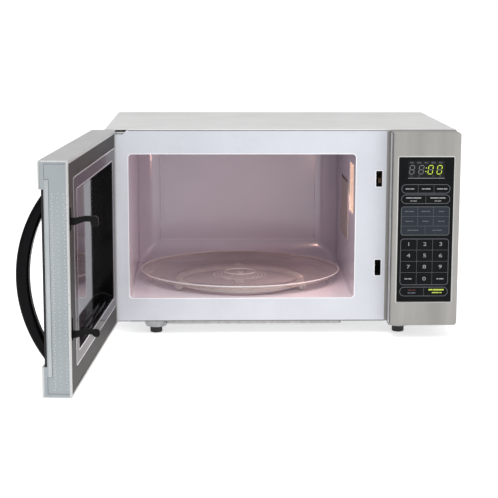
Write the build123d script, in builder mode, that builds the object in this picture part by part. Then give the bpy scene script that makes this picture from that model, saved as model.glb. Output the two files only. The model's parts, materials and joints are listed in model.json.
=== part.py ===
from build123d import *
import os
from math import cos, radians, sin

os.makedirs("parts", exist_ok=True)

# A countertop microwave oven with its side-hung door standing open. Millimetres, +Z up.
# The origin is on the worktop, under the middle of the space that the open oven takes up.
# Cabinet sizes below count from the cabinet's lower left front corner: x to the right,
# y backwards from the front plate and z up from the worktop. Door sizes count from the
# same corner with the door shut, so a shut door and the cabinet share their numbers.

# ---------------------------------------------------------------- driving dimensions
left = -218.0  # x of the cabinet's left side
front = 36.5  # y of the front plate's face
width = 513.0
depth = 338.0  # from the front plate to the back edge of the cover
height = 304.0
sheet = 0.8  # steel sheet of the cabinet

cavity_x = (35.2, 366.0)
cavity_z = (55.5, 268.0)
cavity_depth = 328.0
cavity_back_radius = 34.0

panel_depth = 36.5  # the control panel and the door stand this far forward of the plate
panel_x = (415.5, 513.0)
panel_z = (21.0, 303.0)
inset_x = (423.9, 503.8)  # the black key field in the panel
inset_z = (56.0, 267.7)

door_angle = 94.1  # how far the door stands open
hinge_x = 9.0  # the hinge pin's axis
hinge_y = -10.0
door_x = (0.8, 414.5)
door_y = (-36.5, -1.0)
door_z = (20.3, 303.5)
glass_z = (58.0, 270.0)  # the outer glass between the two silver bars
glass_y = (-33.0, -30.0)
seal_x = (24.0, 376.0)  # the raised steel face that lands round the cavity's mouth
seal_z = (50.0, 280.0)
pane_x = (46.0, 355.0)  # the dark inner window
pane_z = (66.0, 263.0)

slot_x = (395.8, 404.9)  # the two slots that the door hooks enter
slot_z = ((88.6, 112.3), (220.3, 243.7))
key_x = (397.3, 401.8)  # the door key, one moulding with two hooks

tray_x = 201.0  # the turntable's axis
tray_y = 162.5
tray_radius = 157.5
dish_z = 45.5  # the sunken floor that the rollers run on
dish_radius = 148.0
roller_radius = 7.0
roller_track = 110.0  # from the turntable's axis to the middle of a roller
roller_z = dish_z + 0.3 + roller_radius
tray_z = roller_z + roller_radius + 0.3

fan_x = 440.0
fan_z = 185.0
foot_x = (73.0, 435.0)
foot_y = (22.0, 312.0)
pin_radius = 3.0
bush_gap = 0.05  # running clearance of a pin in its bush


# ---------------------------------------------------------------- planes and outlines
def datum(origin, along):
    """Planes through a corner that look at it from above, from the front, from the right."""
    inward = Vector(0, 0, 1).cross(along)
    from_above = Plane(origin=origin, x_dir=along, z_dir=(0, 0, 1))
    from_front = Plane(origin=origin, x_dir=along, z_dir=inward * -1)
    from_right = Plane(origin=origin, x_dir=inward, z_dir=along)
    return from_above, from_front, from_right


def rect(plane, x0, x1, y0, y1, corner=0):
    """A rectangle between two corners, with round corners where a radius is given."""
    with BuildSketch(plane) as outline:
        with Locations(((x0 + x1) / 2, (y0 + y1) / 2)):
            if corner:
                RectangleRounded(x1 - x0, y1 - y0, corner)
            else:
                Rectangle(x1 - x0, y1 - y0)
    return outline.sketch


def disc(plane, x, y, radius):
    """A circle about a point."""
    with BuildSketch(plane) as outline:
        with Locations((x, y)):
            Circle(radius)
    return outline.sketch


def polygon(plane, *points):
    """A face bounded by straight runs through the points."""
    with BuildSketch(plane) as outline:
        with BuildLine():
            Polyline(*points, close=True)
        make_face()
    return outline.sketch


above, ahead, aside = datum(Vector(left, front, 0), Vector(1, 0, 0))
swing = Vector(cos(radians(door_angle)), -sin(radians(door_angle)), 0)
pin_place = Vector(left + hinge_x, front + hinge_y, 0)
door_corner = pin_place - swing * hinge_x - Vector(0, 0, 1).cross(swing) * hinge_y
door_above, door_ahead, door_aside = datum(door_corner, swing)

# ---------------------------------------------------------------- cabinet: outer cover
cover_bottom = 20.0
cover_corner = 3.5
with BuildPart() as outer_cover:
    with BuildSketch(ahead.offset(-depth)):
        with Locations((width / 2, (cover_bottom + height) / 2)):
            Rectangle(width, height - cover_bottom)
        fillet(vertices().group_by(Axis.Y)[-1], cover_corner)
    extrude(amount=depth)
    with BuildSketch(ahead.offset(-depth - 1)):
        with Locations((width / 2, (height - sheet) / 2)):
            Rectangle(width - 2 * sheet, height - sheet)
        fillet(vertices().group_by(Axis.Y)[-1], cover_corner - sheet)
    extrude(amount=depth + 2, mode=Mode.SUBTRACT)
    # air slots low in the right side, beside the fan
    with BuildSketch(aside.offset(width - 2 * sheet)):
        with Locations((255, 160)):
            with GridLocations(34, 9, 3, 9):
                SlotOverall(26, 4)
    extrude(amount=3 * sheet, mode=Mode.SUBTRACT)
outer_cover.part.label = "outer_cover"
export_step(outer_cover.part, "parts/outer_cover.step")

# ---------------------------------------------------------------- cabinet: front plate
plate_x = (1.2, 511.8)
plate_z = (21.6, 302.8)
plate_flange = 13.0
notch_z = 296.8  # the top left corner is cut away for the upper hinge
with BuildPart() as front_plate:
    extrude(rect(ahead.offset(-plate_flange), *plate_x, *plate_z, 3), amount=plate_flange)
    inner = (plate_x[0] + sheet, plate_x[1] - sheet, plate_z[0] + sheet, plate_z[1] - sheet)
    extrude(rect(ahead.offset(-plate_flange), *inner, 2.2), amount=plate_flange - sheet, mode=Mode.SUBTRACT)
    extrude(rect(ahead.offset(-5), *cavity_x, *cavity_z, 5), amount=10, mode=Mode.SUBTRACT)
    # rolled rims stand round the two hook slots
    for low, high in slot_z:
        rim = rect(ahead, slot_x[0] - 1.3, slot_x[1] + 1.3, low - 1.3, high + 1.3, 2.6)
        extrude(rim, amount=0.5)
        extrude(rect(ahead.offset(-5), *slot_x, low, high, 1.4), amount=10, mode=Mode.SUBTRACT)
    # the opening behind the control panel
    extrude(rect(ahead.offset(-5), 426, 502, 40, 290), amount=10, mode=Mode.SUBTRACT)
    corner = ((0, notch_z), (28, notch_z), (34, plate_z[1] + 1), (0, plate_z[1] + 1))
    extrude(polygon(ahead.offset(-20), *corner), amount=25, mode=Mode.SUBTRACT)
front_plate.part.label = "front_plate"
export_step(front_plate.part, "parts/front_plate.step")


# ---------------------------------------------------------------- cabinet: oven cavity
def cavity_form(grow):
    """The cavity's space, larger all round by the thickness of its wall."""
    with BuildPart() as form:
        x0, x1 = cavity_x[0] - grow, cavity_x[1] + grow
        z0, z1 = cavity_z[0] - grow, cavity_z[1] + grow
        back = cavity_depth + grow
        extrude(rect(ahead.offset(-back), x0, x1, z0, z1, 6), amount=back - sheet)
        rear_edges = form.faces().sort_by(Axis.Y)[-1].edges()
        fillet(rear_edges, cavity_back_radius + grow)
        # the round dish in the floor, whose wall also cuts into the back's curve
        with BuildSketch(above.offset(dish_z - grow)):
            with Locations((tray_x, tray_y)):
                Circle(dish_radius - 8 + grow)
        with BuildSketch(above.offset(dish_z + 20)):
            with Locations((tray_x, tray_y)):
                Circle(dish_radius + 8 + grow)
        loft()
    return form.part


with BuildPart() as cavity_box:
    add(cavity_form(sheet))
    add(cavity_form(0), mode=Mode.SUBTRACT)
    extrude(disc(above.offset(dish_z - 5), tray_x, tray_y, 7), amount=10, mode=Mode.SUBTRACT)
    # ports in the right wall for the lamp and for the waveguide
    wall = aside.offset(cavity_x[1] - 2)
    extrude(rect(wall, 27, 93, 172, 251, 3), amount=5, mode=Mode.SUBTRACT)
    extrude(rect(wall, 125, 190, 140, 185, 3), amount=5, mode=Mode.SUBTRACT)
cavity_box.part.label = "cavity_box"
export_step(cavity_box.part, "parts/cavity_box.step")

with BuildPart() as lamp_screen:
    screen_plane = aside.offset(cavity_x[1] + sheet)
    extrude(rect(screen_plane, 22, 98, 167, 256, 4), amount=0.6)
    with BuildSketch(screen_plane):
        with Locations((60, 211.5)):
            with GridLocations(6, 6, 11, 13):
                Rectangle(3.4, 3.4)
    extrude(amount=1, mode=Mode.SUBTRACT)
lamp_screen.part.label = "lamp_screen"
export_step(lamp_screen.part, "parts/lamp_screen.step")

with BuildPart() as mica_cover:
    extrude(rect(aside.offset(cavity_x[1] - 0.6), 105, 211, 122, 215, 4), amount=0.6)
mica_cover.part.label = "mica_cover"
export_step(mica_cover.part, "parts/mica_cover.step")

# ---------------------------------------------------------------- cabinet: base and back
base_z = 20.0
flange_top = 34.0
press_x = (88.0, 348.0)  # the middle of the base is pressed down
press_y = (2.2, 328.0)
press_z = 16.0
boss_z = 10.0


def base_form(grow):
    """The pressed base as a solid, shrunk by the sheet's thickness when grow is negative."""
    bottom = base_z - grow
    with BuildPart() as form:
        extrude(rect(above.offset(bottom), 1.2 - grow, 511.8 + grow, 13.6 - grow, 335.4 + grow), amount=20)
        extrude(rect(above.offset(bottom), 15 - grow, 498 + grow, 1.2 - grow, 30), amount=20)
        pressed = rect(above.offset(press_z - grow), press_x[0] - grow, press_x[1] + grow,
                       press_y[0] - grow, press_y[1] + grow, 8)
        extrude(pressed, amount=10)
        for x in foot_x:
            for y in foot_y:
                with BuildSketch(above.offset(boss_z - grow)):
                    with Locations((x, y)):
                        Circle(15 + grow)
                with BuildSketch(above.offset(base_z + 1)):
                    with Locations((x, y)):
                        Circle(20 + grow)
                loft()
    return form.part


with BuildPart() as base_plate:
    add(base_form(0))
    add(base_form(-sheet), mode=Mode.SUBTRACT)
    extrude(rect(above.offset(flange_top), -5, width + 5, -5, depth + 5), amount=20, mode=Mode.SUBTRACT)
    # the front is left flat, below the front plate
    extrude(rect(above.offset(base_z + sheet), -5, width + 5, -5, 13.5), amount=30, mode=Mode.SUBTRACT)
    for x in foot_x:
        for y in foot_y:
            extrude(disc(above.offset(5), x, y, 2.7), amount=10, mode=Mode.SUBTRACT)
base_plate.part.label = "base_plate"
export_step(base_plate.part, "parts/base_plate.step")

foot_names = ("foot_front_left", "foot_rear_left", "foot_front_right", "foot_rear_right")
foot_places = [(x, y) for x in foot_x for y in foot_y]
for foot_name, (x, y) in zip(foot_names, foot_places):
    with BuildPart() as foot:
        extrude(disc(above, x, y, 9), amount=boss_z)
        chamfer(foot.faces().sort_by(Axis.Z)[0].edges(), 1.2)
        extrude(disc(above.offset(boss_z), x, y, 2.6), amount=3)
    foot.part.label = foot_name
    export_step(foot.part, f"parts/{foot_name}.step")

panel_back = 336.8
rear_screws = ((12, 60), (12, 255), (501, 60), (501, 255), (110, 294), (403, 294))
gland_x = 470.0
gland_z = 62.0
with BuildPart() as rear_panel:
    extrude(rect(ahead.offset(-panel_back), 1.2, 511.8, 35, 302.8, 3), amount=sheet)
    with BuildSketch(ahead.offset(-panel_back - 1)):
        with Locations((fan_x, fan_z)):
            with GridLocations(28, 8, 4, 13):
                SlotOverall(22, 4)
        with Locations((120, 240)):
            with GridLocations(28, 8, 5, 5):
                SlotOverall(22, 4)
        with Locations((gland_x, gland_z)):
            Circle(8)
        with Locations(*rear_screws):
            Circle(2)
    extrude(amount=4, mode=Mode.SUBTRACT)
rear_panel.part.label = "rear_panel"
export_step(rear_panel.part, "parts/rear_panel.step")

with BuildPart() as cabinet_screws:
    for x, z in rear_screws:
        extrude(disc(ahead.offset(-panel_back), x, z, 1.9), amount=9)
        extrude(disc(ahead.offset(-panel_back - 2.2), x, z, 4), amount=2.2)
        for half_x, half_z in ((2.6, 0.4), (0.4, 2.6)):
            cross = rect(ahead.offset(-panel_back - 2.3), x - half_x, x + half_x, z - half_z, z + half_z)
            extrude(cross, amount=1, mode=Mode.SUBTRACT)
cabinet_screws.part.label = "cabinet_screws"
export_step(cabinet_screws.part, "parts/cabinet_screws.step")

gland_radius = 4.0
with BuildPart() as cord_gland:
    extrude(disc(ahead.offset(-panel_back - 4), gland_x, gland_z, 11), amount=4)
    extrude(disc(ahead.offset(-panel_back), gland_x, gland_z, 7.95), amount=6)
    extrude(disc(ahead.offset(-panel_back - 5), gland_x, gland_z, gland_radius), amount=12, mode=Mode.SUBTRACT)
cord_gland.part.label = "cord_gland"
export_step(cord_gland.part, "parts/cord_gland.step")

# ---------------------------------------------------------------- cabinet: hinge brackets
tongue = 2.5
upper_z = 297.6
lower_z = base_z - 2.4
pin_length = 13.0
for bracket_name, low, pin_low in (
    ("upper_hinge_bracket", upper_z, upper_z - pin_length),
    ("lower_hinge_bracket", lower_z, lower_z + 2.4),
):
    with BuildPart() as bracket:
        with BuildSketch(above.offset(low)):
            with Locations((hinge_x, hinge_y)):
                Circle(7.2)
            with Locations((hinge_x, (hinge_y + 40) / 2)):
                Rectangle(14.4, 40 - hinge_y)
            with Locations((17, 22)):
                Rectangle(30, 36)
        extrude(amount=2.4)
        extrude(disc(above.offset(pin_low), hinge_x, hinge_y, pin_radius), amount=pin_length)
    bracket.part.label = bracket_name
    export_step(bracket.part, f"parts/{bracket_name}.step")

# ---------------------------------------------------------------- control panel
with BuildPart() as control_bezel:
    with BuildSketch(ahead):
        with Locations(((panel_x[0] + panel_x[1]) / 2, (panel_z[0] + panel_z[1]) / 2)):
            Rectangle(panel_x[1] - panel_x[0], panel_z[1] - panel_z[0])
        fillet(vertices().group_by(Axis.X)[-1], 5)
    extrude(amount=panel_depth)
    fillet(control_bezel.faces().sort_by(Axis.Y)[0].edges(), 1.5)
    hollow = (panel_x[0] + 2.5, panel_x[1] - 2.5, panel_z[0] + 2.5, panel_z[1] - 2.5)
    extrude(rect(ahead, *hollow, 2), amount=panel_depth - 3.2, mode=Mode.SUBTRACT)
    # a flange of the moulding lies on the front plate beside the door
    extrude(rect(ahead, 411, panel_x[0] + 1, panel_z[0] + 1, panel_z[1] - 1), amount=0.6)
    # a bevelled recess for the key field, and the window behind it
    bevel = 1.4
    with BuildSketch(ahead.offset(panel_depth)):
        with Locations(((inset_x[0] + inset_x[1]) / 2, (inset_z[0] + inset_z[1]) / 2)):
            RectangleRounded(inset_x[1] - inset_x[0] + 2 * bevel, inset_z[1] - inset_z[0] + 2 * bevel, 2.5)
    extrude(amount=-1.4, taper=45, mode=Mode.SUBTRACT)
    extrude(rect(ahead.offset(panel_depth - 5), 432, 496, 62, 264), amount=6, mode=Mode.SUBTRACT)
control_bezel.part.label = "control_bezel"
export_step(control_bezel.part, "parts/control_bezel.step")

window_x = (437.5, 490.2)
window_z = (238.4, 262.3)
membrane_back = panel_depth - 1.4
with BuildPart() as keypad_membrane:
    membrane = (inset_x[0] + 0.1, inset_x[1] - 0.1, inset_z[0] + 0.1, inset_z[1] - 0.1)
    extrude(rect(ahead.offset(membrane_back), *membrane, 1.2), amount=0.9)
    extrude(rect(ahead.offset(membrane_back), *window_x, *window_z), amount=2, mode=Mode.SUBTRACT)
keypad_membrane.part.label = "keypad_membrane"
export_step(keypad_membrane.part, "parts/keypad_membrane.step")

with BuildPart() as display_window:
    extrude(rect(ahead.offset(membrane_back), *window_x, *window_z), amount=0.9)
display_window.part.label = "display_window"
export_step(display_window.part, "parts/display_window.step")

board_front = 24.0
with BuildPart() as display_module:
    extrude(rect(ahead.offset(board_front), 435, 493, 236, 264), amount=membrane_back - board_front)
display_module.part.label = "display_module"
export_step(display_module.part, "parts/display_module.step")

with BuildPart() as control_board:
    extrude(rect(ahead.offset(board_front - 1.6), 422, 506, 66, 272), amount=1.6)
    back_plane = ahead.offset(board_front - 1.6)
    for x, z, w, h, d in ((440, 100, 18, 16, 14), (462, 100, 18, 16, 14), (488, 105, 26, 24, 18),
                          (445, 150, 24, 8, 10), (480, 150, 12, 12, 16), (455, 200, 14, 14, 4)):
        extrude(rect(back_plane, x - w / 2, x + w / 2, z - h / 2, z + h / 2), amount=-d)
control_board.part.label = "control_board"
export_step(control_board.part, "parts/control_board.step")

# ---------------------------------------------------------------- door latch in the cabinet
hook_reach = 31.5  # how far the shut hooks reach behind the plate's face
plunger_tip = hook_reach + 0.3
switch_face = plunger_tip + 1.4
with BuildPart() as latch_board:
    extrude(rect(above.offset(78), 408.5, 411, 1.0, 46), amount=178)
    for low in (78, 114.5, 206, 253):
        extrude(rect(above.offset(low), 391, 409, 1.0, 46), amount=3)
    extrude(rect(above.offset(78), 391, 393, 1.0, 46), amount=39.5)
    extrude(rect(above.offset(206), 391, 393, 1.0, 46), amount=50)
    # the ledges that the hooks drop behind
    extrude(rect(above.offset(80), 391, 409, 8, 19), amount=11.4)
    extrude(rect(above.offset(208), 391, 409, 8, 19), amount=15.4)
latch_board.part.label = "latch_board"
export_step(latch_board.part, "parts/latch_board.step")

# each switch: the bottom of its case, and the height of its plunger
switches = ((94.0, 97.5), (210.5, 229.0), (232.2, 233.6))
switch_mid = (key_x[0] + key_x[1]) / 2
with BuildPart() as door_switches:
    for low, plunger in switches:
        case = rect(ahead.offset(-switch_face - 10), switch_mid - 3.2, switch_mid + 3.2, low, low + 20)
        extrude(case, amount=10)
        hole = rect(ahead.offset(-switch_face - 5), switch_mid - 1.6, switch_mid + 1.6,
                    plunger - 1.3, plunger + 1.3)
        extrude(hole, amount=6, mode=Mode.SUBTRACT)
door_switches.part.label = "door_switches"
export_step(door_switches.part, "parts/door_switches.step")

plunger_names = ("secondary_plunger", "monitor_plunger", "primary_plunger")
for plunger_name, (low, height_of) in zip(plunger_names, switches):
    with BuildPart() as plunger:
        stem = rect(ahead.offset(-plunger_tip - 4.5), switch_mid - 1.2, switch_mid + 1.2,
                    height_of - 0.9, height_of + 0.9)
        extrude(stem, amount=4.5)
    plunger.part.label = plunger_name
    export_step(plunger.part, f"parts/{plunger_name}.step")

# ---------------------------------------------------------------- microwave source
with BuildPart() as waveguide:
    guide_x = (cavity_x[1] + sheet, 402.0)
    extrude(rect(above.offset(132), *guide_x, 112, 252), amount=60)
    extrude(rect(above.offset(133), guide_x[0] - 1, guide_x[1] - 1, 113, 251), amount=58, mode=Mode.SUBTRACT)
    extrude(disc(aside.offset(400), 216, 162, 12), amount=4, mode=Mode.SUBTRACT)
waveguide.part.label = "waveguide"
export_step(waveguide.part, "parts/waveguide.step")

with BuildPart() as magnetron:
    extrude(rect(aside.offset(402), 170, 262, 122, 202), amount=2)
    extrude(rect(aside.offset(460), 170, 262, 122, 202), amount=2)
    extrude(rect(aside.offset(402), 170, 172, 122, 202), amount=60)
    extrude(rect(aside.offset(402), 260, 262, 122, 202), amount=60)
    extrude(disc(aside.offset(384), 216, 162, 8), amount=20)
    extrude(disc(aside.offset(402), 216, 162, 27), amount=14)
    extrude(disc(aside.offset(448), 216, 162, 27), amount=14)
    extrude(disc(aside.offset(404), 216, 162, 20), amount=56)
    for step in range(8):
        extrude(rect(aside.offset(418 + 3.8 * step), 172, 260, 134, 190), amount=0.6)
    extrude(rect(aside.offset(462), 186, 246, 130, 194), amount=22)
magnetron.part.label = "magnetron"
export_step(magnetron.part, "parts/magnetron.step")

core_z = base_z + sheet
with BuildPart() as transformer_core:
    extrude(rect(above.offset(core_z), 386, 488, 62, 142), amount=86)
    for y0, y1 in ((74, 94), (110, 130)):
        extrude(rect(above.offset(core_z + 16), 380, 494, y0, y1), amount=54, mode=Mode.SUBTRACT)
    extrude(rect(above.offset(core_z), 380, 494, 56, 148), amount=2)
transformer_core.part.label = "transformer_core"
export_step(transformer_core.part, "parts/transformer_core.step")

with BuildPart() as transformer_windings:
    for low, high in ((core_z + 18, core_z + 42), (core_z + 46, core_z + 68)):
        with BuildSketch(above.offset(low)):
            with Locations((437, 102)):
                RectangleRounded(126, 55, 12)
                Rectangle(104, 16.4, mode=Mode.SUBTRACT)
        extrude(amount=high - low)
transformer_windings.part.label = "transformer_windings"
export_step(transformer_windings.part, "parts/transformer_windings.step")

with BuildPart() as hv_capacitor:
    extrude(rect(above.offset(core_z), 384, 436, 190, 224, 16.9), amount=82)
    for x in (400, 420):
        extrude(rect(above.offset(core_z + 82), x - 3, x + 3, 206.6, 207.4), amount=10)
hv_capacitor.part.label = "hv_capacitor"
export_step(hv_capacitor.part, "parts/hv_capacitor.step")

with BuildPart() as capacitor_bracket:
    with BuildSketch(above.offset(core_z + 40)):
        with Locations((410, 207)):
            RectangleRounded(54, 36, 17.9)
            RectangleRounded(52, 34, 16.9, mode=Mode.SUBTRACT)
    extrude(amount=14)
    extrude(rect(above.offset(core_z), 400, 420, 225, 226), amount=54)
    extrude(rect(above.offset(core_z), 400, 420, 225, 240), amount=1)
capacitor_bracket.part.label = "capacitor_bracket"
export_step(capacitor_bracket.part, "parts/capacitor_bracket.step")

with BuildPart() as hv_diode:
    extrude(disc(aside.offset(446), 207, core_z + 12, 3), amount=18)
    extrude(disc(aside.offset(438), 207, core_z + 12, 0.7), amount=34)
    extrude(rect(above.offset(core_z), 470, 472, 203, 211), amount=18)
hv_diode.part.label = "hv_diode"
export_step(hv_diode.part, "parts/hv_diode.step")

# ---------------------------------------------------------------- fan
shroud_radius = 59.0
blade_radius = 54.0
shaft_radius = 1.6
with BuildPart() as fan_shroud:
    extrude(rect(ahead.offset(-332), fan_x - 64, fan_x + 64, fan_z - 64, fan_z + 64, 4), amount=2)
    extrude(disc(ahead.offset(-332), fan_x, fan_z, shroud_radius + 2), amount=30)
    extrude(disc(ahead.offset(-333), fan_x, fan_z, shroud_radius), amount=40, mode=Mode.SUBTRACT)
    for end in (-1, 1):
        arm_x = fan_x + end * 41.5
        arm = rect(ahead.offset(-306), arm_x - 20.5, arm_x + 20.5, fan_z - 5, fan_z + 5)
        extrude(arm, amount=3)
fan_shroud.part.label = "fan_shroud"
export_step(fan_shroud.part, "parts/fan_shroud.step")

with BuildPart() as fan_motor:
    extrude(rect(ahead.offset(-303), fan_x - 26, fan_x + 26, fan_z - 20, fan_z + 26), amount=16)
    extrude(rect(ahead.offset(-302), fan_x - 17, fan_x + 17, fan_z - 38, fan_z - 20), amount=24)
    extrude(disc(ahead.offset(-303), fan_x, fan_z, 13), amount=24)
    extrude(disc(ahead.offset(-310), fan_x, fan_z, shaft_radius + bush_gap), amount=40, mode=Mode.SUBTRACT)
fan_motor.part.label = "fan_motor"
export_step(fan_motor.part, "parts/fan_motor.step")

with BuildPart() as fan_blade:
    extrude(disc(ahead.offset(-320), fan_x, fan_z, 14), amount=12)
    extrude(disc(ahead.offset(-310), fan_x, fan_z, shaft_radius), amount=24)
    for turn in range(5):
        angle = 72 * turn
        blade_plane = Plane(
            origin=ahead.from_local_coords(Vector(fan_x, fan_z, -314)),
            x_dir=Vector(cos(radians(angle)), 0, sin(radians(angle))),
            z_dir=(0, -1, 0),
        )
        blade_side = Plane(origin=blade_plane.origin, x_dir=blade_plane.y_dir, z_dir=blade_plane.x_dir)
        with BuildSketch(blade_side.offset(11)):
            Rectangle(18, 1.6, rotation=38)
        with BuildSketch(blade_side.offset(blade_radius)):
            Rectangle(30, 1.4, rotation=16)
        loft()
fan_blade.part.label = "fan_blade"
export_step(fan_blade.part, "parts/fan_blade.step")

# ---------------------------------------------------------------- lamp and small inner parts
lamp_y = 62.0
lamp_z = 212.0
lamp_centre = aside.from_local_coords(Vector(lamp_y, lamp_z, 386))
lamp_axis = Plane(origin=lamp_centre, x_dir=(0, 1, 0), z_dir=(1, 0, 0))
with BuildPart(lamp_axis) as lamp_bulb:
    Sphere(10)
    Cylinder(7, 25, align=(Align.CENTER, Align.CENTER, Align.MIN))
lamp_bulb.part.label = "lamp_bulb"
export_step(lamp_bulb.part, "parts/lamp_bulb.step")

with BuildPart() as lamp_holder:
    extrude(rect(aside.offset(400), lamp_y - 10, lamp_y + 10, lamp_z - 11, lamp_z + 11, 3), amount=18)
    extrude(disc(aside.offset(399), lamp_y, lamp_z, 7.3), amount=12, mode=Mode.SUBTRACT)
    extrude(rect(aside.offset(367.4), lamp_y + 11, lamp_y + 12, lamp_z - 11, lamp_z + 11), amount=50)
    extrude(rect(aside.offset(408), lamp_y + 9, lamp_y + 12, lamp_z - 8, lamp_z + 8), amount=8)
lamp_holder.part.label = "lamp_holder"
export_step(lamp_holder.part, "parts/lamp_holder.step")

cavity_top = cavity_z[1] + sheet
with BuildPart() as thermal_cutout:
    extrude(rect(above.offset(cavity_top), 288, 312, 54, 66), amount=1.2)
    extrude(disc(above.offset(cavity_top + 1.2), 300, 60, 7), amount=6)
    for x in (295, 305):
        extrude(rect(above.offset(cavity_top + 7.2), x - 2, x + 2, 59.6, 60.4), amount=8)
thermal_cutout.part.label = "thermal_cutout"
export_step(thermal_cutout.part, "parts/thermal_cutout.step")

with BuildPart() as noise_filter_board:
    extrude(rect(above.offset(262), 378, 470, 262, 330), amount=1.6)
    extrude(disc(above.offset(263.6), 400, 296, 13), amount=16)
    extrude(rect(above.offset(263.6), 424, 444, 280, 304), amount=14)
    extrude(rect(above.offset(263.6), 452, 464, 276, 312), amount=10)
noise_filter_board.part.label = "noise_filter_board"
export_step(noise_filter_board.part, "parts/noise_filter_board.step")

# ---------------------------------------------------------------- turntable
hub_radius = 9.0
shaft_flat = 3.5
shaft_length = 20.0
with BuildPart() as turntable_motor:
    extrude(disc(above.offset(dish_z - sheet - 15), tray_x, tray_y, 25), amount=15)
    ears = rect(above.offset(dish_z - sheet - 1.5), tray_x - 36, tray_x + 36, tray_y - 8, tray_y + 8, 7.9)
    extrude(ears, amount=1.5)
    bore = disc(above.offset(dish_z - sheet - 10), tray_x, tray_y, shaft_flat + bush_gap)
    extrude(bore, amount=20, mode=Mode.SUBTRACT)
turntable_motor.part.label = "turntable_motor"
export_step(turntable_motor.part, "parts/turntable_motor.step")

with BuildPart() as motor_shaft:
    extrude(disc(above.offset(dish_z - sheet - 9), tray_x, tray_y, shaft_flat), amount=shaft_length)
    flat = rect(above.offset(dish_z + 2), tray_x + 2.4, tray_x + 5, tray_y - 4, tray_y + 4)
    extrude(flat, amount=20, mode=Mode.SUBTRACT)
motor_shaft.part.label = "motor_shaft"
export_step(motor_shaft.part, "parts/motor_shaft.step")

arm_top = tray_z - 0.4
with BuildPart() as turntable_coupler:
    extrude(disc(above.offset(dish_z + 2), tray_x, tray_y, hub_radius), amount=arm_top - dish_z - 2)
    for turn in range(3):
        with BuildSketch(above.offset(arm_top - 6)):
            with Locations((tray_x, tray_y)):
                with Locations(Location((0, 0), 120 * turn + 90)):
                    SlotOverall(27, 7, align=(Align.MIN, Align.CENTER))
        extrude(amount=6)
    with BuildSketch(above.offset(dish_z + 1)):
        with Locations((tray_x, tray_y)):
            Circle(shaft_flat)
        with Locations((tray_x + 3.7, tray_y)):
            Rectangle(2.6, 8, mode=Mode.SUBTRACT)
    extrude(amount=shaft_length - sheet - 10, mode=Mode.SUBTRACT)
turntable_coupler.part.label = "turntable_coupler"
export_step(turntable_coupler.part, "parts/turntable_coupler.step")

glass = 4.4
rim_top = 71.6
rim_foot = (tray_radius - 1.2, rim_top - 4)
rim_outside = (tray_radius, rim_top - 2)
rim_inside = (tray_radius - 4, rim_top - 1.6)
tray_centre = above.from_local_coords(Vector(tray_x, tray_y, 0))
tray_section = Plane(origin=tray_centre, x_dir=(1, 0, 0), z_dir=(0, -1, 0))
with BuildPart() as glass_tray:
    with BuildSketch(tray_section):
        with BuildLine():
            Line((0, tray_z), (134, tray_z))
            Spline((134, tray_z), (147, tray_z + 3.2), rim_foot, tangents=((1, 0), (0.6, 1)))
            Line(rim_foot, rim_outside)
            ThreePointArc(rim_outside, (tray_radius - 2, rim_top), rim_inside)
            Spline(rim_inside, (145, tray_z + 7.2), (134, tray_z + glass), tangents=((-0.6, -1), (-1, 0)))
            Line((134, tray_z + glass), (0, tray_z + glass))
            Line((0, tray_z + glass), (0, tray_z))
        make_face()
    revolve(axis=Axis(tray_section.origin, (0, 0, 1)))
    # lugs under the tray sit between the coupler's arms
    for turn in range(3):
        angle = radians(120 * turn + 30)
        lug = disc(above.offset(tray_z - 4), tray_x + 19 * cos(angle), tray_y + 19 * sin(angle), 5)
        extrude(lug, amount=5)
glass_tray.part.label = "glass_tray"
export_step(glass_tray.part, "parts/glass_tray.step")

ring_outer = 101.0
ring_inner = 92.0
roller_width = 6.0
axle_radius = 2.0
with BuildPart() as roller_ring:
    with BuildSketch(above.offset(roller_z - 3)):
        with Locations((tray_x, tray_y)):
            Circle(ring_outer)
            Circle(ring_inner, mode=Mode.SUBTRACT)
    extrude(amount=6)
    fillet(roller_ring.edges(), 1.5)
    for turn in range(3):
        angle = radians(120 * turn - 30)
        outward = Vector(cos(angle), sin(angle), 0)
        hub_place = above.from_local_coords(Vector(tray_x, tray_y, roller_z))
        radial = Plane(origin=hub_place, x_dir=Vector(0, 0, 1).cross(outward), z_dir=outward)
        axle_start = ring_outer - 2
        axle_end = roller_track + roller_width / 2 + 1
        extrude(disc(radial.offset(axle_start), 0, 0, axle_radius), amount=axle_end - axle_start)
        extrude(disc(radial.offset(axle_end - 0.5), 0, 0, 2.8), amount=1.6)
roller_ring.part.label = "roller_ring"
export_step(roller_ring.part, "parts/roller_ring.step")

for turn in range(3):
    angle = radians(120 * turn - 30)
    outward = Vector(cos(angle), sin(angle), 0)
    hub_place = above.from_local_coords(Vector(tray_x, tray_y, roller_z))
    radial = Plane(origin=hub_place, x_dir=Vector(0, 0, 1).cross(outward), z_dir=outward)
    with BuildPart() as roller:
        extrude(disc(radial.offset(roller_track - roller_width / 2), 0, 0, roller_radius), amount=roller_width)
        fillet(roller.edges(), 1)
        bore = disc(radial.offset(roller_track - roller_width), 0, 0, axle_radius + bush_gap)
        extrude(bore, amount=2 * roller_width, mode=Mode.SUBTRACT)
    roller.part.label = f"roller_{turn + 1}"
    export_step(roller.part, f"parts/roller_{turn + 1}.step")

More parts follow.
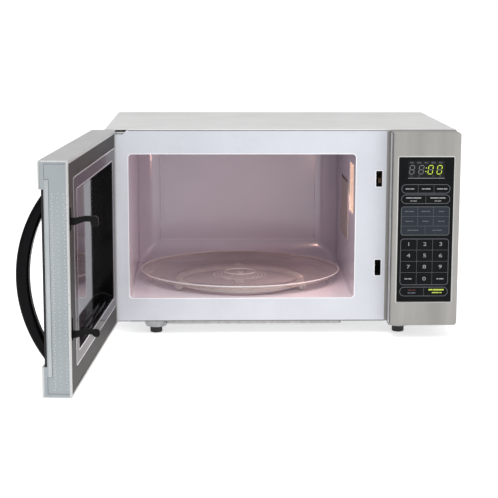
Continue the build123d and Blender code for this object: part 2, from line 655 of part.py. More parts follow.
# ---------------------------------------------------------------- door
web_y = -26.0  # the frame's wall behind the glass
handle_x = 390.0
handle_screw_z = (71.0, 253.0)
hollow_x = (18.0, 411.0)
hollow_z = (24.0, 299.5)
pocket_z = (295.4, 301.4)
bush_length = 11.0
bush_radius = 5.0
with BuildPart() as door_frame:
    with BuildSketch(door_above.offset(door_z[0])):
        with Locations(((door_x[0] + door_x[1]) / 2, (door_y[0] + door_y[1]) / 2)):
            Rectangle(door_x[1] - door_x[0], door_y[1] - door_y[0])
        hinge_side = vertices().group_by(Axis.X)[0].sort_by(Axis.Y)
        free_side = vertices().group_by(Axis.X)[-1].sort_by(Axis.Y)
        fillet(hinge_side[-1], hinge_x - door_x[0])
        fillet(hinge_side[0], 4)
        fillet(free_side[0], 2)
        chamfer(free_side[-1], 1.2)
    extrude(amount=door_z[1] - door_z[0])
    fillet(door_frame.faces().sort_by(Axis.Z)[-1].edges() + door_frame.faces().sort_by(Axis.Z)[0].edges(), 0.8)
    # the outer glass lies between the two bars
    extrude(rect(door_ahead.offset(-glass_y[1]), -5, 420, *glass_z), amount=10, mode=Mode.SUBTRACT)
    # hollow towards the cabinet, and a window through the web
    extrude(rect(door_ahead.offset(-4), *hollow_x, *hollow_z, 2), amount=4 - web_y, mode=Mode.SUBTRACT)
    extrude(rect(door_ahead.offset(20), 50, 351, 70, 259, 4), amount=15, mode=Mode.SUBTRACT)
    # the upper hinge tongue turns in a pocket
    pocket = rect(door_above.offset(pocket_z[0]), -5, 19, -19.5, 5)
    extrude(pocket, amount=pocket_z[1] - pocket_z[0], mode=Mode.SUBTRACT)
    for low in (door_z[0], pocket_z[0] - bush_length):
        seat = disc(door_above.offset(low), hinge_x, hinge_y, bush_radius)
        extrude(seat, amount=bush_length, mode=Mode.SUBTRACT)
    for low in (door_z[0], pocket_z[0] - 14):
        extrude(disc(door_above.offset(low), hinge_x, hinge_y, 3.4), amount=14, mode=Mode.SUBTRACT)
    for z in handle_screw_z:
        extrude(disc(door_ahead.offset(20), handle_x, z, 2.2), amount=15, mode=Mode.SUBTRACT)
door_frame.part.label = "door_frame"
export_step(door_frame.part, "parts/door_frame.step")

with BuildPart() as hinge_bushes:
    for low in (door_z[0], pocket_z[0] - bush_length):
        with BuildSketch(door_above.offset(low)):
            with Locations((hinge_x, hinge_y)):
                Circle(bush_radius)
                Circle(pin_radius + bush_gap, mode=Mode.SUBTRACT)
        extrude(amount=bush_length)
hinge_bushes.part.label = "hinge_bushes"
export_step(hinge_bushes.part, "parts/hinge_bushes.step")

with BuildPart() as door_glass:
    pane = (door_x[0] + 1, door_x[1] - 0.2, glass_z[0] + 0.1, glass_z[1] - 0.1)
    extrude(rect(door_ahead.offset(-glass_y[1]), *pane), amount=glass_y[1] - glass_y[0])
    for z in handle_screw_z:
        extrude(disc(door_ahead.offset(20), handle_x, z, 2.2), amount=20, mode=Mode.SUBTRACT)
door_glass.part.label = "door_glass"
export_step(door_glass.part, "parts/door_glass.step")

choke_back = 20.0
slit = 4.0
slit_pitch = 20.0
with BuildPart() as door_choke_frame:
    # the raised seal face
    inside = (seal_x[0] + 1, seal_x[1] - 1, seal_z[0] + 1, seal_z[1] - 1)
    extrude(rect(door_ahead.offset(1.2), *seal_x, *seal_z, 5), amount=8)
    extrude(rect(door_ahead.offset(2.2), *inside, 4), amount=10, mode=Mode.SUBTRACT)
    # the flange and the channel's outer wall
    extrude(rect(door_ahead.offset(8.2), 19, 410, 26, 298.5, 3), amount=choke_back - 8.2)
    extrude(rect(door_ahead.offset(9.2), 20, 409, 27, 297.5, 2), amount=20, mode=Mode.SUBTRACT)
    extrude(rect(door_ahead, *pane_x, *pane_z, 3), amount=30, mode=Mode.SUBTRACT)
    extrude(rect(door_ahead.offset(3), *inside, 4), amount=9, mode=Mode.SUBTRACT)
    # slits part the wall into choke fingers
    for count in range(19):
        x = 30 + slit_pitch * count
        extrude(rect(door_ahead.offset(11), x, x + slit, 20, 305), amount=20, mode=Mode.SUBTRACT)
    for count in range(13):
        z = 38 + slit_pitch * count
        extrude(rect(door_ahead.offset(11), 15, 415, z, z + slit), amount=20, mode=Mode.SUBTRACT)
    # room for the door key
    extrude(rect(door_ahead, 393, 405, 84, 280), amount=30, mode=Mode.SUBTRACT)
door_choke_frame.part.label = "door_choke_frame"
export_step(door_choke_frame.part, "parts/door_choke_frame.step")

with BuildPart() as choke_cover:
    outside = (hollow_x[0] + 0.2, hollow_x[1] - 0.2, hollow_z[0] + 0.2, hollow_z[1] - 0.2)
    around_seal = (seal_x[0] - 0.6, seal_x[1] + 0.6, seal_z[0] - 0.6, seal_z[1] + 0.6)
    extrude(rect(door_ahead.offset(1.6), *outside, 2), amount=2)
    extrude(rect(door_ahead, *around_seal, 5.4), amount=10, mode=Mode.SUBTRACT)
    # slots that the key's hooks stand out of
    for low in (88.0, 220.0):
        extrude(rect(door_ahead, 394, 406, low, low + 27, 1), amount=10, mode=Mode.SUBTRACT)
choke_cover.part.label = "choke_cover"
export_step(choke_cover.part, "parts/choke_cover.step")

pane_back = 18.6
with BuildPart() as door_screen:
    screen = (pane_x[0] - 3, pane_x[1] + 3, pane_z[0] - 3, pane_z[1] + 3)
    extrude(rect(door_ahead.offset(pane_back + 0.1), *screen, 3), amount=0.5)
door_screen.part.label = "door_screen"
export_step(door_screen.part, "parts/door_screen.step")

# a deep stepped dish whose bottom is the window's pane
with BuildPart() as inner_window:
    window = (pane_x[0] + 0.3, pane_x[1] - 0.3, pane_z[0] + 0.3, pane_z[1] - 0.3)
    extrude(rect(door_ahead.offset(2.6), *window, 3), amount=pane_back - 2.6)
    for step_back, wall in ((7.5, 1.5), (12.5, 4), (17, 6.5)):
        room = (window[0] + wall, window[1] - wall, window[2] + wall, window[3] - wall)
        extrude(rect(door_ahead, *room, 4), amount=step_back, mode=Mode.SUBTRACT)
inner_window.part.label = "inner_window"
export_step(inner_window.part, "parts/inner_window.step")

# the bow handle, a curved bar whose two ends stand on the glass
handle_width = 18.0
handle_mid = 162.0
outer_half = 103.5
outer_rise = 36.0
inner_half = 79.0
inner_rise = 20.5
bow_foot = glass_y[0]
with BuildPart() as door_handle:
    with BuildSketch(door_aside.offset(handle_x - handle_width / 2)):
        with BuildLine():
            ThreePointArc((bow_foot, handle_mid - outer_half), (bow_foot - outer_rise, handle_mid),
                          (bow_foot, handle_mid + outer_half))
            Line((bow_foot, handle_mid + outer_half), (bow_foot, handle_mid + inner_half))
            ThreePointArc((bow_foot, handle_mid + inner_half), (bow_foot - inner_rise, handle_mid),
                          (bow_foot, handle_mid - inner_half))
            Line((bow_foot, handle_mid - inner_half), (bow_foot, handle_mid - outer_half))
        make_face()
    extrude(amount=handle_width)
    bow_edges = door_handle.edges().filter_by(GeomType.CIRCLE)
    fillet(bow_edges, 4.5)
    for z in handle_screw_z:
        extrude(disc(door_ahead.offset(30), handle_x, z, 1.9), amount=9, mode=Mode.SUBTRACT)
door_handle.part.label = "door_handle"
export_step(door_handle.part, "parts/door_handle.step")

with BuildPart() as handle_screws:
    for z in handle_screw_z:
        extrude(disc(door_ahead.offset(23.6), handle_x, z, 4), amount=2.4)
        extrude(disc(door_ahead.offset(26), handle_x, z, 1.9), amount=12)
handle_screws.part.label = "handle_screws"
export_step(handle_screws.part, "parts/handle_screws.step")

# ---------------------------------------------------------------- door key with two hooks
spine_y = (-9.0, -5.0)
arms = ((95.6, 101.6, 92.3), (231.0, 237.4, 224.4))  # bottom and top of an arm, tip of its lug
root_drop = 4.4  # an arm starts this much lower, and rises towards its hook
with BuildPart() as latch_key:
    extrude(rect(door_aside.offset(key_x[0]), *spine_y, 90, 250), amount=key_x[1] - key_x[0])
    for low, high, lug in arms:
        with BuildSketch(door_aside.offset(key_x[0])):
            with BuildLine():
                Polyline(
                    (spine_y[0], low - root_drop), (3.5, low - root_drop), (15, low), (22, low), (23, lug + 2),
                    (25.5, lug), (30, lug + 0.6), (hook_reach, lug + 3.5), (hook_reach, high - 2.5),
                    (hook_reach - 3, high), (16, high), (4, high - root_drop / 2), (spine_y[0], high - root_drop / 2),
                    close=True,
                )
            make_face()
            fillet(vertices(), 1.1)
        extrude(amount=key_x[1] - key_x[0])
latch_key.part.label = "latch_key"
export_step(latch_key.part, "parts/latch_key.step")

spring_top = 268.0
spring_foot = 250.4
spring_radius = 2.4
wire = 0.35
spring_axis = Vector((key_x[0] + key_x[1]) / 2, (spine_y[0] + spine_y[1]) / 2, spring_foot)
spring_plane = Plane(origin=door_above.from_local_coords(spring_axis), x_dir=swing, z_dir=(0, 0, 1))
with BuildPart() as latch_spring:
    with BuildLine(spring_plane) as coil:
        Helix(pitch=2.9, height=spring_top - spring_foot, radius=spring_radius)
    with BuildSketch(Plane(origin=coil.line @ 0, z_dir=coil.line % 0)):
        Circle(wire)
    sweep(path=coil.line, is_frenet=True)
latch_spring.part.label = "latch_spring"
export_step(latch_spring.part, "parts/latch_spring.step")
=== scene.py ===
import json
from math import cos, pi, radians, sin

import bmesh
import bpy
from mathutils import Euler, Matrix, Vector


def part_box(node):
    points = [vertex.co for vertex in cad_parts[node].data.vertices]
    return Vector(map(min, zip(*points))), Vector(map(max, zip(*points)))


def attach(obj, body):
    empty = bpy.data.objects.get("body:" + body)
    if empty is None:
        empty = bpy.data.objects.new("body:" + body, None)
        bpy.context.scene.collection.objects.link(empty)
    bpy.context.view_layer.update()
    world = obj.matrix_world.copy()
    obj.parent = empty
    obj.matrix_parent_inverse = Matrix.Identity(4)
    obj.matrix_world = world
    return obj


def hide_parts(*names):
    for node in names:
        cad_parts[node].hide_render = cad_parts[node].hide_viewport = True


# A microwave oven with its door open: finishes and small pieces round the CAD frame, light and camera.
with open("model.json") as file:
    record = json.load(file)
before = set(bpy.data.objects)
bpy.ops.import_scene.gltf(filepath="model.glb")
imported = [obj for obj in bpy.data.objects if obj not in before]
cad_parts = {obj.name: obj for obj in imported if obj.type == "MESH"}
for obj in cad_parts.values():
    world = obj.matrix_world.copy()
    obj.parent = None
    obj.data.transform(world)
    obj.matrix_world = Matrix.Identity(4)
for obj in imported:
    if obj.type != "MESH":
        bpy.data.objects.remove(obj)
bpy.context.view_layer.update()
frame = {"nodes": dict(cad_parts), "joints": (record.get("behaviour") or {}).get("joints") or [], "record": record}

# ------------------------------------------------------------------ places from the frame
# Cabinet sizes are in millimetres from the cabinet's lower left front corner: x to the right,
# y backwards from the front plate, z up. Door sizes are the same numbers with the door shut.
MM = 0.001
cover_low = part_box("outer_cover")[0]
left, front = cover_low.x, cover_low.y
hinge = next(joint for joint in frame["joints"] if joint["name"] == "door_hinge")
hinge_at = Vector(hinge["pos_m"])
opened = Matrix.Rotation(-radians(hinge["range_deg"][1]), 4, "Z")
swing = Matrix.Translation(hinge_at) @ opened @ Matrix.Translation(-hinge_at)


def cabinet(x, y, z):
    """A point of the cabinet, in the frame's metres."""
    return Vector((left + x * MM, front + y * MM, z * MM))


def door(x, y, z):
    """A point of the standing-open door, given by its place with the door shut."""
    return swing @ cabinet(x, y, z)


def local_box(node):
    """A cabinet node's box in cabinet millimetres, as x0, x1, y0, y1, z0, z1."""
    low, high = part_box(node)
    return (
        (low.x - left) / MM, (high.x - left) / MM,
        (low.y - front) / MM, (high.y - front) / MM,
        low.z / MM, high.z / MM,
    )


def shut_box(node):
    """A door node's box with the door shut, in cabinet millimetres, as x0, x1, y0, y1, z0, z1."""
    back = swing.inverted()
    corners = [back @ vertex.co for vertex in frame["nodes"][node].data.vertices]
    spans = []
    for axis, start in ((0, left), (1, front), (2, 0.0)):
        values = [corner[axis] for corner in corners]
        spans += [(min(values) - start) / MM, (max(values) - start) / MM]
    return spans


# ------------------------------------------------------------------ materials
def noise(nodes, links, place, scale, detail=3.0, stretch=(1, 1, 1)):
    """A noise texture that is fixed to the piece, stretched along its axes."""
    mapping = nodes.new("ShaderNodeMapping")
    mapping.inputs["Scale"].default_value = stretch
    links.new(place, mapping.inputs["Vector"])
    texture = nodes.new("ShaderNodeTexNoise")
    texture.inputs["Scale"].default_value = scale
    texture.inputs["Detail"].default_value = detail
    links.new(mapping.outputs["Vector"], texture.inputs["Vector"])
    return texture.outputs["Fac"]


def spread(nodes, links, factor, low, high):
    """Maps the middle of a noise to a range of numbers."""
    remap = nodes.new("ShaderNodeMapRange")
    remap.inputs["From Min"].default_value = 0.3
    remap.inputs["From Max"].default_value = 0.7
    remap.inputs["To Min"].default_value = low
    remap.inputs["To Max"].default_value = high
    links.new(factor, remap.inputs["Value"])
    return remap.outputs["Result"]


def look(name, dark, light, rough, metallic=0.0, tone=18, stretch=(1, 1, 1), grain=900, bump=0.1,
         grain_stretch=(1, 1, 1), depth=0.00005, coat=0.0, glow=None, glow_strength=0.0,
         alpha=1.0, specular=0.5):
    """A finish: two tones mixed by a soft noise, roughness that wanders, and a fine grain as bump."""
    material = bpy.data.materials.new(name)
    material.use_nodes = True
    nodes, links = material.node_tree.nodes, material.node_tree.links
    shader = nodes["Principled BSDF"]
    place = nodes.new("ShaderNodeTexCoord").outputs["Object"]
    soft = noise(nodes, links, place, tone, 4.0, stretch)
    ramp = nodes.new("ShaderNodeValToRGB")
    ramp.color_ramp.elements[0].position = 0.3
    ramp.color_ramp.elements[1].position = 0.7
    ramp.color_ramp.elements[0].color = (*dark, 1)
    ramp.color_ramp.elements[1].color = (*light, 1)
    links.new(soft, ramp.inputs["Fac"])
    links.new(ramp.outputs["Color"], shader.inputs["Base Color"])
    fine = noise(nodes, links, place, grain, 2.0, grain_stretch)
    links.new(spread(nodes, links, fine, rough * 0.88, rough * 1.12), shader.inputs["Roughness"])
    relief = nodes.new("ShaderNodeBump")
    relief.inputs["Strength"].default_value = bump
    relief.inputs["Distance"].default_value = depth
    links.new(fine, relief.inputs["Height"])
    links.new(relief.outputs["Normal"], shader.inputs["Normal"])
    shader.inputs["Metallic"].default_value = metallic
    shader.inputs["Coat Weight"].default_value = coat
    shader.inputs["Coat Roughness"].default_value = 0.06
    shader.inputs["Specular IOR Level"].default_value = specular
    shader.inputs["Alpha"].default_value = alpha
    if glow:
        shader.inputs["Emission Color"].default_value = (*glow, 1)
        shader.inputs["Emission Strength"].default_value = glow_strength
    return material


def grey(value):
    """A colour with no tint."""
    return (value, value, value)


# one finish for each material slot of the record: two tones, roughness, and what sets it apart
finishes = {
    "cover_paint": ((0.56, 0.56, 0.555), (0.63, 0.63, 0.625), 0.42, dict(grain=1400, bump=0.25, coat=0.1)),
    "plate_enamel": ((0.55, 0.57, 0.62), (0.59, 0.61, 0.66), 0.3, dict(grain=500, bump=0.03, coat=0.25)),
    "cavity_enamel": ((0.44, 0.42, 0.50), (0.49, 0.47, 0.55), 0.2,
                      dict(tone=6, grain=220, bump=0.012, coat=0.5)),
    "zinc_steel": ((0.30, 0.305, 0.31), (0.42, 0.425, 0.43), 0.36, dict(metallic=0.9, tone=160, grain=700)),
    "screw_steel": ((0.58, 0.59, 0.60), (0.74, 0.75, 0.76), 0.2, dict(metallic=1.0, tone=300)),
    "silver_plastic": ((0.25, 0.244, 0.232), (0.32, 0.312, 0.298), 0.36,
                       dict(metallic=0.75, tone=40, stretch=(1, 1, 0.08), grain=1500,
                            grain_stretch=(1, 1, 0.05), bump=0.12, coat=0.08)),
    "key_field": ((0.003, 0.0035, 0.004), (0.005, 0.0055, 0.006), 0.28,
                  dict(grain=1800, bump=0.06, specular=0.07)),
    "display_glass": ((0.008, 0.010, 0.010), (0.012, 0.014, 0.014), 0.18, dict(bump=0.02, specular=0.08)),
    "door_black": ((0.004, 0.004, 0.005), (0.008, 0.008, 0.010), 0.05, dict(bump=0.01, specular=0.3)),
    "pane_film": ((0.003, 0.003, 0.0035), (0.006, 0.0055, 0.006), 0.07, dict(bump=0.02, specular=0.07)),
    "seal_enamel": ((0.030, 0.022, 0.027), (0.042, 0.032, 0.038), 0.14, dict(bump=0.05, specular=0.04)),
    "choke_plastic": ((0.024, 0.023, 0.022), (0.034, 0.033, 0.032), 0.5,
                      dict(grain=2200, bump=0.35, depth=0.0001, specular=0.12)),
    "black_gloss": ((0.0015, 0.0015, 0.002), (0.003, 0.003, 0.004), 0.11,
                    dict(grain=200, bump=0.02, specular=0.07)),
    "black_plastic": (grey(0.004), grey(0.008), 0.34, dict(grain=1500, bump=0.15, specular=0.07)),
    "foot_plastic": (grey(0.008), grey(0.016), 0.55, dict(grain=1800, bump=0.3)),
    "tray_glass": ((0.50, 0.455, 0.455), (0.57, 0.52, 0.52), 0.05,
                   dict(tone=30, grain=60, bump=0.02, alpha=0.34, specular=0.6)),
    "white_nylon": ((0.74, 0.74, 0.71), (0.80, 0.80, 0.78), 0.45, dict(grain=1200, bump=0.1)),
    "mica": ((0.33, 0.30, 0.28), (0.42, 0.38, 0.36), 0.5, dict(tone=90, grain=600, bump=0.3)),
    "lamp_glass": ((0.95, 0.80, 0.60), (1.0, 0.88, 0.70), 0.1,
                   dict(glow=(1.0, 0.72, 0.42), glow_strength=1.2)),
    "board_green": ((0.03, 0.14, 0.06), (0.05, 0.20, 0.09), 0.4, dict(tone=400, grain=900, bump=0.2)),
    "display_block": (grey(0.02), grey(0.035), 0.5, dict(grain=900)),
    "copper": ((0.40, 0.16, 0.06), (0.62, 0.28, 0.12), 0.3,
               dict(metallic=0.9, tone=60, stretch=(0.1, 0.1, 12), grain=180, grain_stretch=(0.05, 0.05, 8),
                    bump=0.9, depth=0.0004)),
    "core_steel": ((0.10, 0.10, 0.105), (0.19, 0.19, 0.20), 0.5,
                   dict(metallic=0.6, tone=60, stretch=(14, 0.1, 0.1), grain=150,
                        grain_stretch=(10, 0.1, 0.1), bump=0.6, depth=0.0003)),
    "aluminium": ((0.58, 0.59, 0.60), (0.70, 0.71, 0.72), 0.3, dict(metallic=1.0, tone=80, grain=900)),
    "motor_steel": ((0.42, 0.43, 0.44), (0.56, 0.57, 0.58), 0.3, dict(metallic=0.9, tone=120, grain=700)),
    "gland_rubber": (grey(0.010), grey(0.022), 0.65, dict(grain=1500, bump=0.4)),
    "fan_plastic": ((0.36, 0.37, 0.36), (0.44, 0.45, 0.44), 0.45, dict(grain=1400, bump=0.15)),
}
looks = {}
for name, (dark, light, rough, more) in finishes.items():
    looks[name] = look(name, dark, light, rough, **more)
for entry in frame["record"]["subparts"]:
    node = frame["nodes"][entry["node"]]
    node.data.materials.clear()
    node.data.materials.append(looks[entry["material_slot"]])

# the door's moulding is a lighter silver than the control panel's
frame["nodes"]["door_frame"].data.materials[0] = look(
    "door_silver", (0.46, 0.465, 0.46), (0.53, 0.535, 0.53), 0.34, metallic=0.6, tone=40, stretch=(1, 1, 0.2),
    grain=1500, grain_stretch=(1, 1, 0.05), bump=0.08, coat=0.05,
)


def whiten(material, target):
    """Paints light into a material: blends it to a near white, downwards and towards the cavity's mouth, where
    light falls in.
    """
    untouched_height, whitest_height = 0.230, 0.045
    untouched_depth, whitest_depth = front + 0.36, front + 0.005
    nodes, links = material.node_tree.nodes, material.node_tree.links
    shader = nodes["Principled BSDF"]
    place = nodes.new("ShaderNodeSeparateXYZ")
    links.new(nodes.new("ShaderNodeTexCoord").outputs["Object"], place.inputs["Vector"])
    shares = []
    spans = (("Z", untouched_height, whitest_height), ("Y", untouched_depth, whitest_depth))
    for axis, untouched, whitest in spans:
        share = nodes.new("ShaderNodeMapRange")
        share.inputs["From Min"].default_value = untouched
        share.inputs["From Max"].default_value = whitest
        links.new(place.outputs[axis], share.inputs["Value"])
        shares.append(share.outputs["Result"])
    both = nodes.new("ShaderNodeMath")
    both.operation = "MULTIPLY"
    links.new(shares[0], both.inputs[0])
    links.new(shares[1], both.inputs[1])
    blend = nodes.new("ShaderNodeMix")
    blend.data_type = "RGBA"
    links.new(both.outputs["Value"], blend.inputs["Factor"])
    first_colour, second_colour, mixed_colour = blend.inputs[6], blend.inputs[7], blend.outputs[2]
    links.new(shader.inputs["Base Color"].links[0].from_socket, first_colour)
    second_colour.default_value = (*target, 1)
    links.new(mixed_colour, shader.inputs["Base Color"])


# painted light: the cavity's enamel whitens towards its floor and its mouth
whiten(looks["cavity_enamel"], (0.95, 0.90, 0.96))


# ------------------------------------------------------------------ mesh code
def bind(name, mesh, body, finish):
    """Puts a mesh in the scene with its finish, bound to its body."""
    made = bpy.data.objects.new(name, mesh)
    bpy.context.scene.collection.objects.link(made)
    mesh.materials.append(finish)
    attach(made, body)
    return made


def piece(name, points, faces, body, slot, finish, place=cabinet, smooth=False, replaces=()):
    """A piece made from points in local millimetres, which a place function puts in the frame."""
    mesh = bpy.data.meshes.new(name)
    mesh.from_pydata([place(*point) for point in points], [], faces)
    form = bmesh.new()
    form.from_mesh(mesh)
    bmesh.ops.recalc_face_normals(form, faces=form.faces)
    for face in form.faces:
        face.smooth = smooth
    form.to_mesh(mesh)
    form.free()
    made = bind(name, mesh, body, finish)
    if replaces:
        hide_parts(*replaces)


def join(*shapes):
    """Several (points, faces) shapes as one."""
    points, faces = [], []
    for more_points, more_faces in shapes:
        start = len(points)
        points.extend(more_points)
        faces.extend([tuple(start + corner for corner in face) for face in more_faces])
    return points, faces


def rounded(x0, x1, z0, z1, radius, steps=8):
    """The outline of a rectangle with round corners, as points of x and z."""
    centres = ((x1 - radius, z1 - radius, 0), (x0 + radius, z1 - radius, 90),
               (x0 + radius, z0 + radius, 180), (x1 - radius, z0 + radius, 270))
    outline = []
    for x, z, start in centres:
        for step in range(steps + 1):
            angle = radians(start + 90 * step / steps)
            outline.append((x + radius * cos(angle), z + radius * sin(angle)))
    return outline


def slab_faces(count):
    """The faces of a slab whose points are its back outline and then its front one."""
    faces = [tuple(range(count)), tuple(range(count, 2 * count))]
    faces += [(i, (i + 1) % count, count + (i + 1) % count, count + i) for i in range(count)]
    return faces


def plaque(outline, back, face):
    """A flat mark: an outline in x and z that runs from one depth to another."""
    points = [(x, back, z) for x, z in outline] + [(x, face, z) for x, z in outline]
    return points, slab_faces(len(outline))


def side_plaque(outline, side_x, first, last):
    """A flat mark that faces sideways: an outline in y and z, between two offsets from side_x."""
    points = [(side_x + first, y, z) for y, z in outline] + [(side_x + last, y, z) for y, z in outline]
    return points, slab_faces(len(outline))


def corners_of(low_u, high_u, low_v, high_v):
    """The outline of a plain rectangle."""
    return [(low_u, low_v), (high_u, low_v), (high_u, high_v), (low_u, high_v)]


def loop_faces(count):
    """The faces of a closed band, whose points are four loops: outer and inner, at two depths."""
    faces = []
    for i in range(count):
        j = (i + 1) % count
        faces.append((i, j, count + j, count + i))
        faces.append((2 * count + i, 2 * count + j, 3 * count + j, 3 * count + i))
        faces.append((i, j, 2 * count + j, 2 * count + i))
        faces.append((count + i, count + j, 3 * count + j, 3 * count + i))
    return faces


def frame_band(x0, x1, z0, z1, radius, line, back, face):
    """A line of even width round a rectangle with round corners."""
    outer = rounded(x0, x1, z0, z1, radius)
    inner = rounded(x0 + line, x1 - line, z0 + line, z1 - line, max(radius - line, 0.05))
    points = []
    for depth in (back, face):
        points += [(x, depth, z) for x, z in outer] + [(x, depth, z) for x, z in inner]
    return points, loop_faces(len(outer))


def bar(x, z, half_x, half_z, back, face):
    """A small upright or lying bar, from its middle and half sizes."""
    return plaque(corners_of(x - half_x, x + half_x, z - half_z, z + half_z), back, face)


# ------------------------------------------------------------------ key field: graphics
field_face = local_box("keypad_membrane")[2]
ink_back, ink_face = field_face + 0.01, field_face - 0.05
window_x0, window_x1, window_y0, _, window_z0, _ = local_box("display_window")


def ink(name, dark, light):
    """A matt printed colour."""
    return look(name, dark, light, 0.5, grain=2500, specular=0.1)


line_grey = ink("line_grey", (0.085, 0.095, 0.105), (0.11, 0.12, 0.13))
glyph_grey = ink("glyph_grey", (0.24, 0.25, 0.26), (0.31, 0.32, 0.33))
faint_grey = ink("faint_grey", (0.05, 0.055, 0.06), (0.07, 0.075, 0.08))
slate = look("slate", (0.020, 0.025, 0.033), (0.027, 0.032, 0.042), 0.45, grain=2500, specular=0.08)
unlit = ink("unlit", (0.15, 0.16, 0.16), (0.19, 0.20, 0.20))
lit = look("lit", (0.40, 0.52, 0.06), (0.46, 0.58, 0.08), 0.5, glow=(0.50, 0.74, 0.03), glow_strength=0.45,
           specular=0.1)
red_ink = ink("red_ink", (0.060, 0.020, 0.022), (0.085, 0.028, 0.030))
blue_ink = ink("blue_ink", (0.070, 0.085, 0.110), (0.090, 0.110, 0.140))
lime_ink = ink("lime_ink", (0.38, 0.46, 0.07), (0.45, 0.54, 0.09))

# the key groups, each from its bottom to its top, with the heights of the lines between its rows
upper_group, second_group = (215.1, 228.4), (200.1, 213.5)
sensor_group, sensor_rows = (154.0, 196.2), (181.8, 167.7)
number_group, number_rows = (81.0, 149.3), (132.6, 116.0, 99.5)
stop_group = (64.4, 78.3)
block_edges = (428.5, 498.9)
thirds = (452.6, 475.3)
halves = (463.8,)
hair = 0.42  # width of the lines between keys; the outlines are twice that
end_gap = 0.6  # from a line's end to the group's outline

# the middles of the keys
left_key, middle_key, right_key = 440.6, 464.0, 487.1
left_half, right_half = 446.2, 481.3
digit_rows = (141.0, 124.3, 107.8, 90.2)


def key_lines():
    """Outlines of the key groups and the lines between their keys."""
    outlines = (
        (upper_group, 6.4, ()), (second_group, 6.4, ()), (sensor_group, 4.2, sensor_rows),
        (number_group, 4.8, number_rows), (stop_group, 6.6, ()),
    )
    middle, half = sum(block_edges) / 2, (block_edges[1] - block_edges[0]) / 2 - end_gap
    shapes = []
    for (low, high), corner, rows in outlines:
        shapes.append(frame_band(*block_edges, low, high, corner, 2 * hair, ink_back, ink_face))
        shapes += [bar(middle, z, half, hair / 2, ink_back, ink_face) for z in rows]
    columns = (
        (upper_group, thirds), (second_group, halves), ((sensor_rows[1], sensor_group[1]), thirds),
        ((sensor_group[0], sensor_rows[1]), halves), (number_group, thirds), (stop_group, halves),
    )
    for (low, high), places in columns:
        for x in places:
            shapes.append(bar(x, (low + high) / 2, hair / 2, (high - low) / 2 - end_gap, ink_back, ink_face))
    return join(*shapes)


def dashes(x, z, parts, half_height=0.75):
    """A row of short dashes that stands in for a key's caption."""
    gap = 0.9
    total = sum(parts) + gap * (len(parts) - 1)
    start = x - total / 2
    shapes = []
    for part in parts:
        shapes.append(bar(start + part / 2, z, part / 2, half_height, ink_back, ink_face - 0.01))
        start += part + gap
    return shapes


def row_of_dashes(z, *captions, half_height=0.75):
    """The captions along a row of keys, each given as its middle and its dashes' lengths."""
    shapes = []
    for x, parts in captions:
        shapes += dashes(x, z, parts, half_height)
    return shapes


def printed(name, shapes, colour):
    """One piece printed on the key field, from a list of shapes."""
    piece(name, *join(*shapes), "cabinet", "key_field", colour)


ground_margin = 0.7
slate_outline = rounded(
    block_edges[0] + ground_margin, block_edges[1] - ground_margin,
    sensor_group[0] + ground_margin, sensor_group[1] - ground_margin, 3.6,
)
printed("key_group_lines", [key_lines()], line_grey)
printed("sensor_key_ground", [plaque(slate_outline, ink_back, ink_face + 0.02)], slate)

caption_marks = row_of_dashes(221.7, (left_key, (6.0, 5.6)), (middle_key, (4.2, 7.4)),
                              (right_key, (8.4, 5.2)))
caption_marks += row_of_dashes(208.6, (left_half, (9.5, 11.5)), (right_half, (12.0, 9.0)))
caption_marks += row_of_dashes(204.2, (left_half, (3.4, 5.2)), (right_half, (3.4, 5.2)), half_height=0.5)
caption_marks += row_of_dashes(digit_rows[3], (left_key, (4.4, 5.0)), (right_key, (3.0, 6.4)))
printed("key_caption_marks", caption_marks, glyph_grey)

faint_marks = row_of_dashes(189.0, (left_key, (5.4, 7.0)), (middle_key, (7.6, 4.0)), (right_key, (8.0,)),
                            half_height=0.65)
faint_marks += row_of_dashes(174.7, (left_key, (7.0, 3.4)), (middle_key, (9.0,)), (right_key, (4.2, 4.2)),
                             half_height=0.65)
faint_marks += row_of_dashes(161.6, (left_half, (6.6, 8.4)), (right_half, (5.2, 7.8)), half_height=0.65)
printed("sensor_key_marks", faint_marks, line_grey)
printed("stop_mark_upper", dashes(left_half, 73.4, (5.8, 4.4), 0.9), red_ink)
printed("stop_mark_lower", dashes(left_half, 69.4, (4.0, 6.4), 0.9), blue_ink)
printed("start_mark", dashes(482.0, 74.0, (6.0, 15.4), 1.1) + dashes(483.0, 69.8, (9.6, 3.4), 0.8), lime_ink)


def digit_mesh(text, x, z):
    """A printed number on a key, from the built-in font, as points in the frame."""
    size, extrude = 8.0, 0.03
    widen, flatten = 1.4, 0.94
    curve = bpy.data.curves.new(f"digit_{text}", "FONT")
    curve.body = text
    curve.size = size * MM
    curve.extrude = extrude * MM
    curve.align_x = "CENTER"
    curve.align_y = "CENTER"
    holder = bpy.data.objects.new(curve.name, curve)
    bpy.context.scene.collection.objects.link(holder)
    bpy.context.view_layer.update()
    mesh = bpy.data.meshes.new_from_object(holder)
    stand = Matrix.Translation(cabinet(x, ink_face, z)) @ Matrix.Rotation(radians(90), 4, "X")
    mesh.transform(stand @ Matrix.Diagonal((widen, flatten, 1, 1)))
    bpy.data.objects.remove(holder)
    bpy.data.curves.remove(curve)
    return mesh


digits = bmesh.new()
for number in range(10):
    column, row = ((number - 1) % 3, (number - 1) // 3) if number else (1, 3)
    mesh = digit_mesh(str(number), (left_key, middle_key, right_key)[column], digit_rows[row])
    digits.from_mesh(mesh)
    bpy.data.meshes.remove(mesh)
digit_data = bpy.data.meshes.new("key_digits")
digits.to_mesh(digit_data)
digits.free()
bind("key_digits", digit_data, "cabinet", glyph_grey)

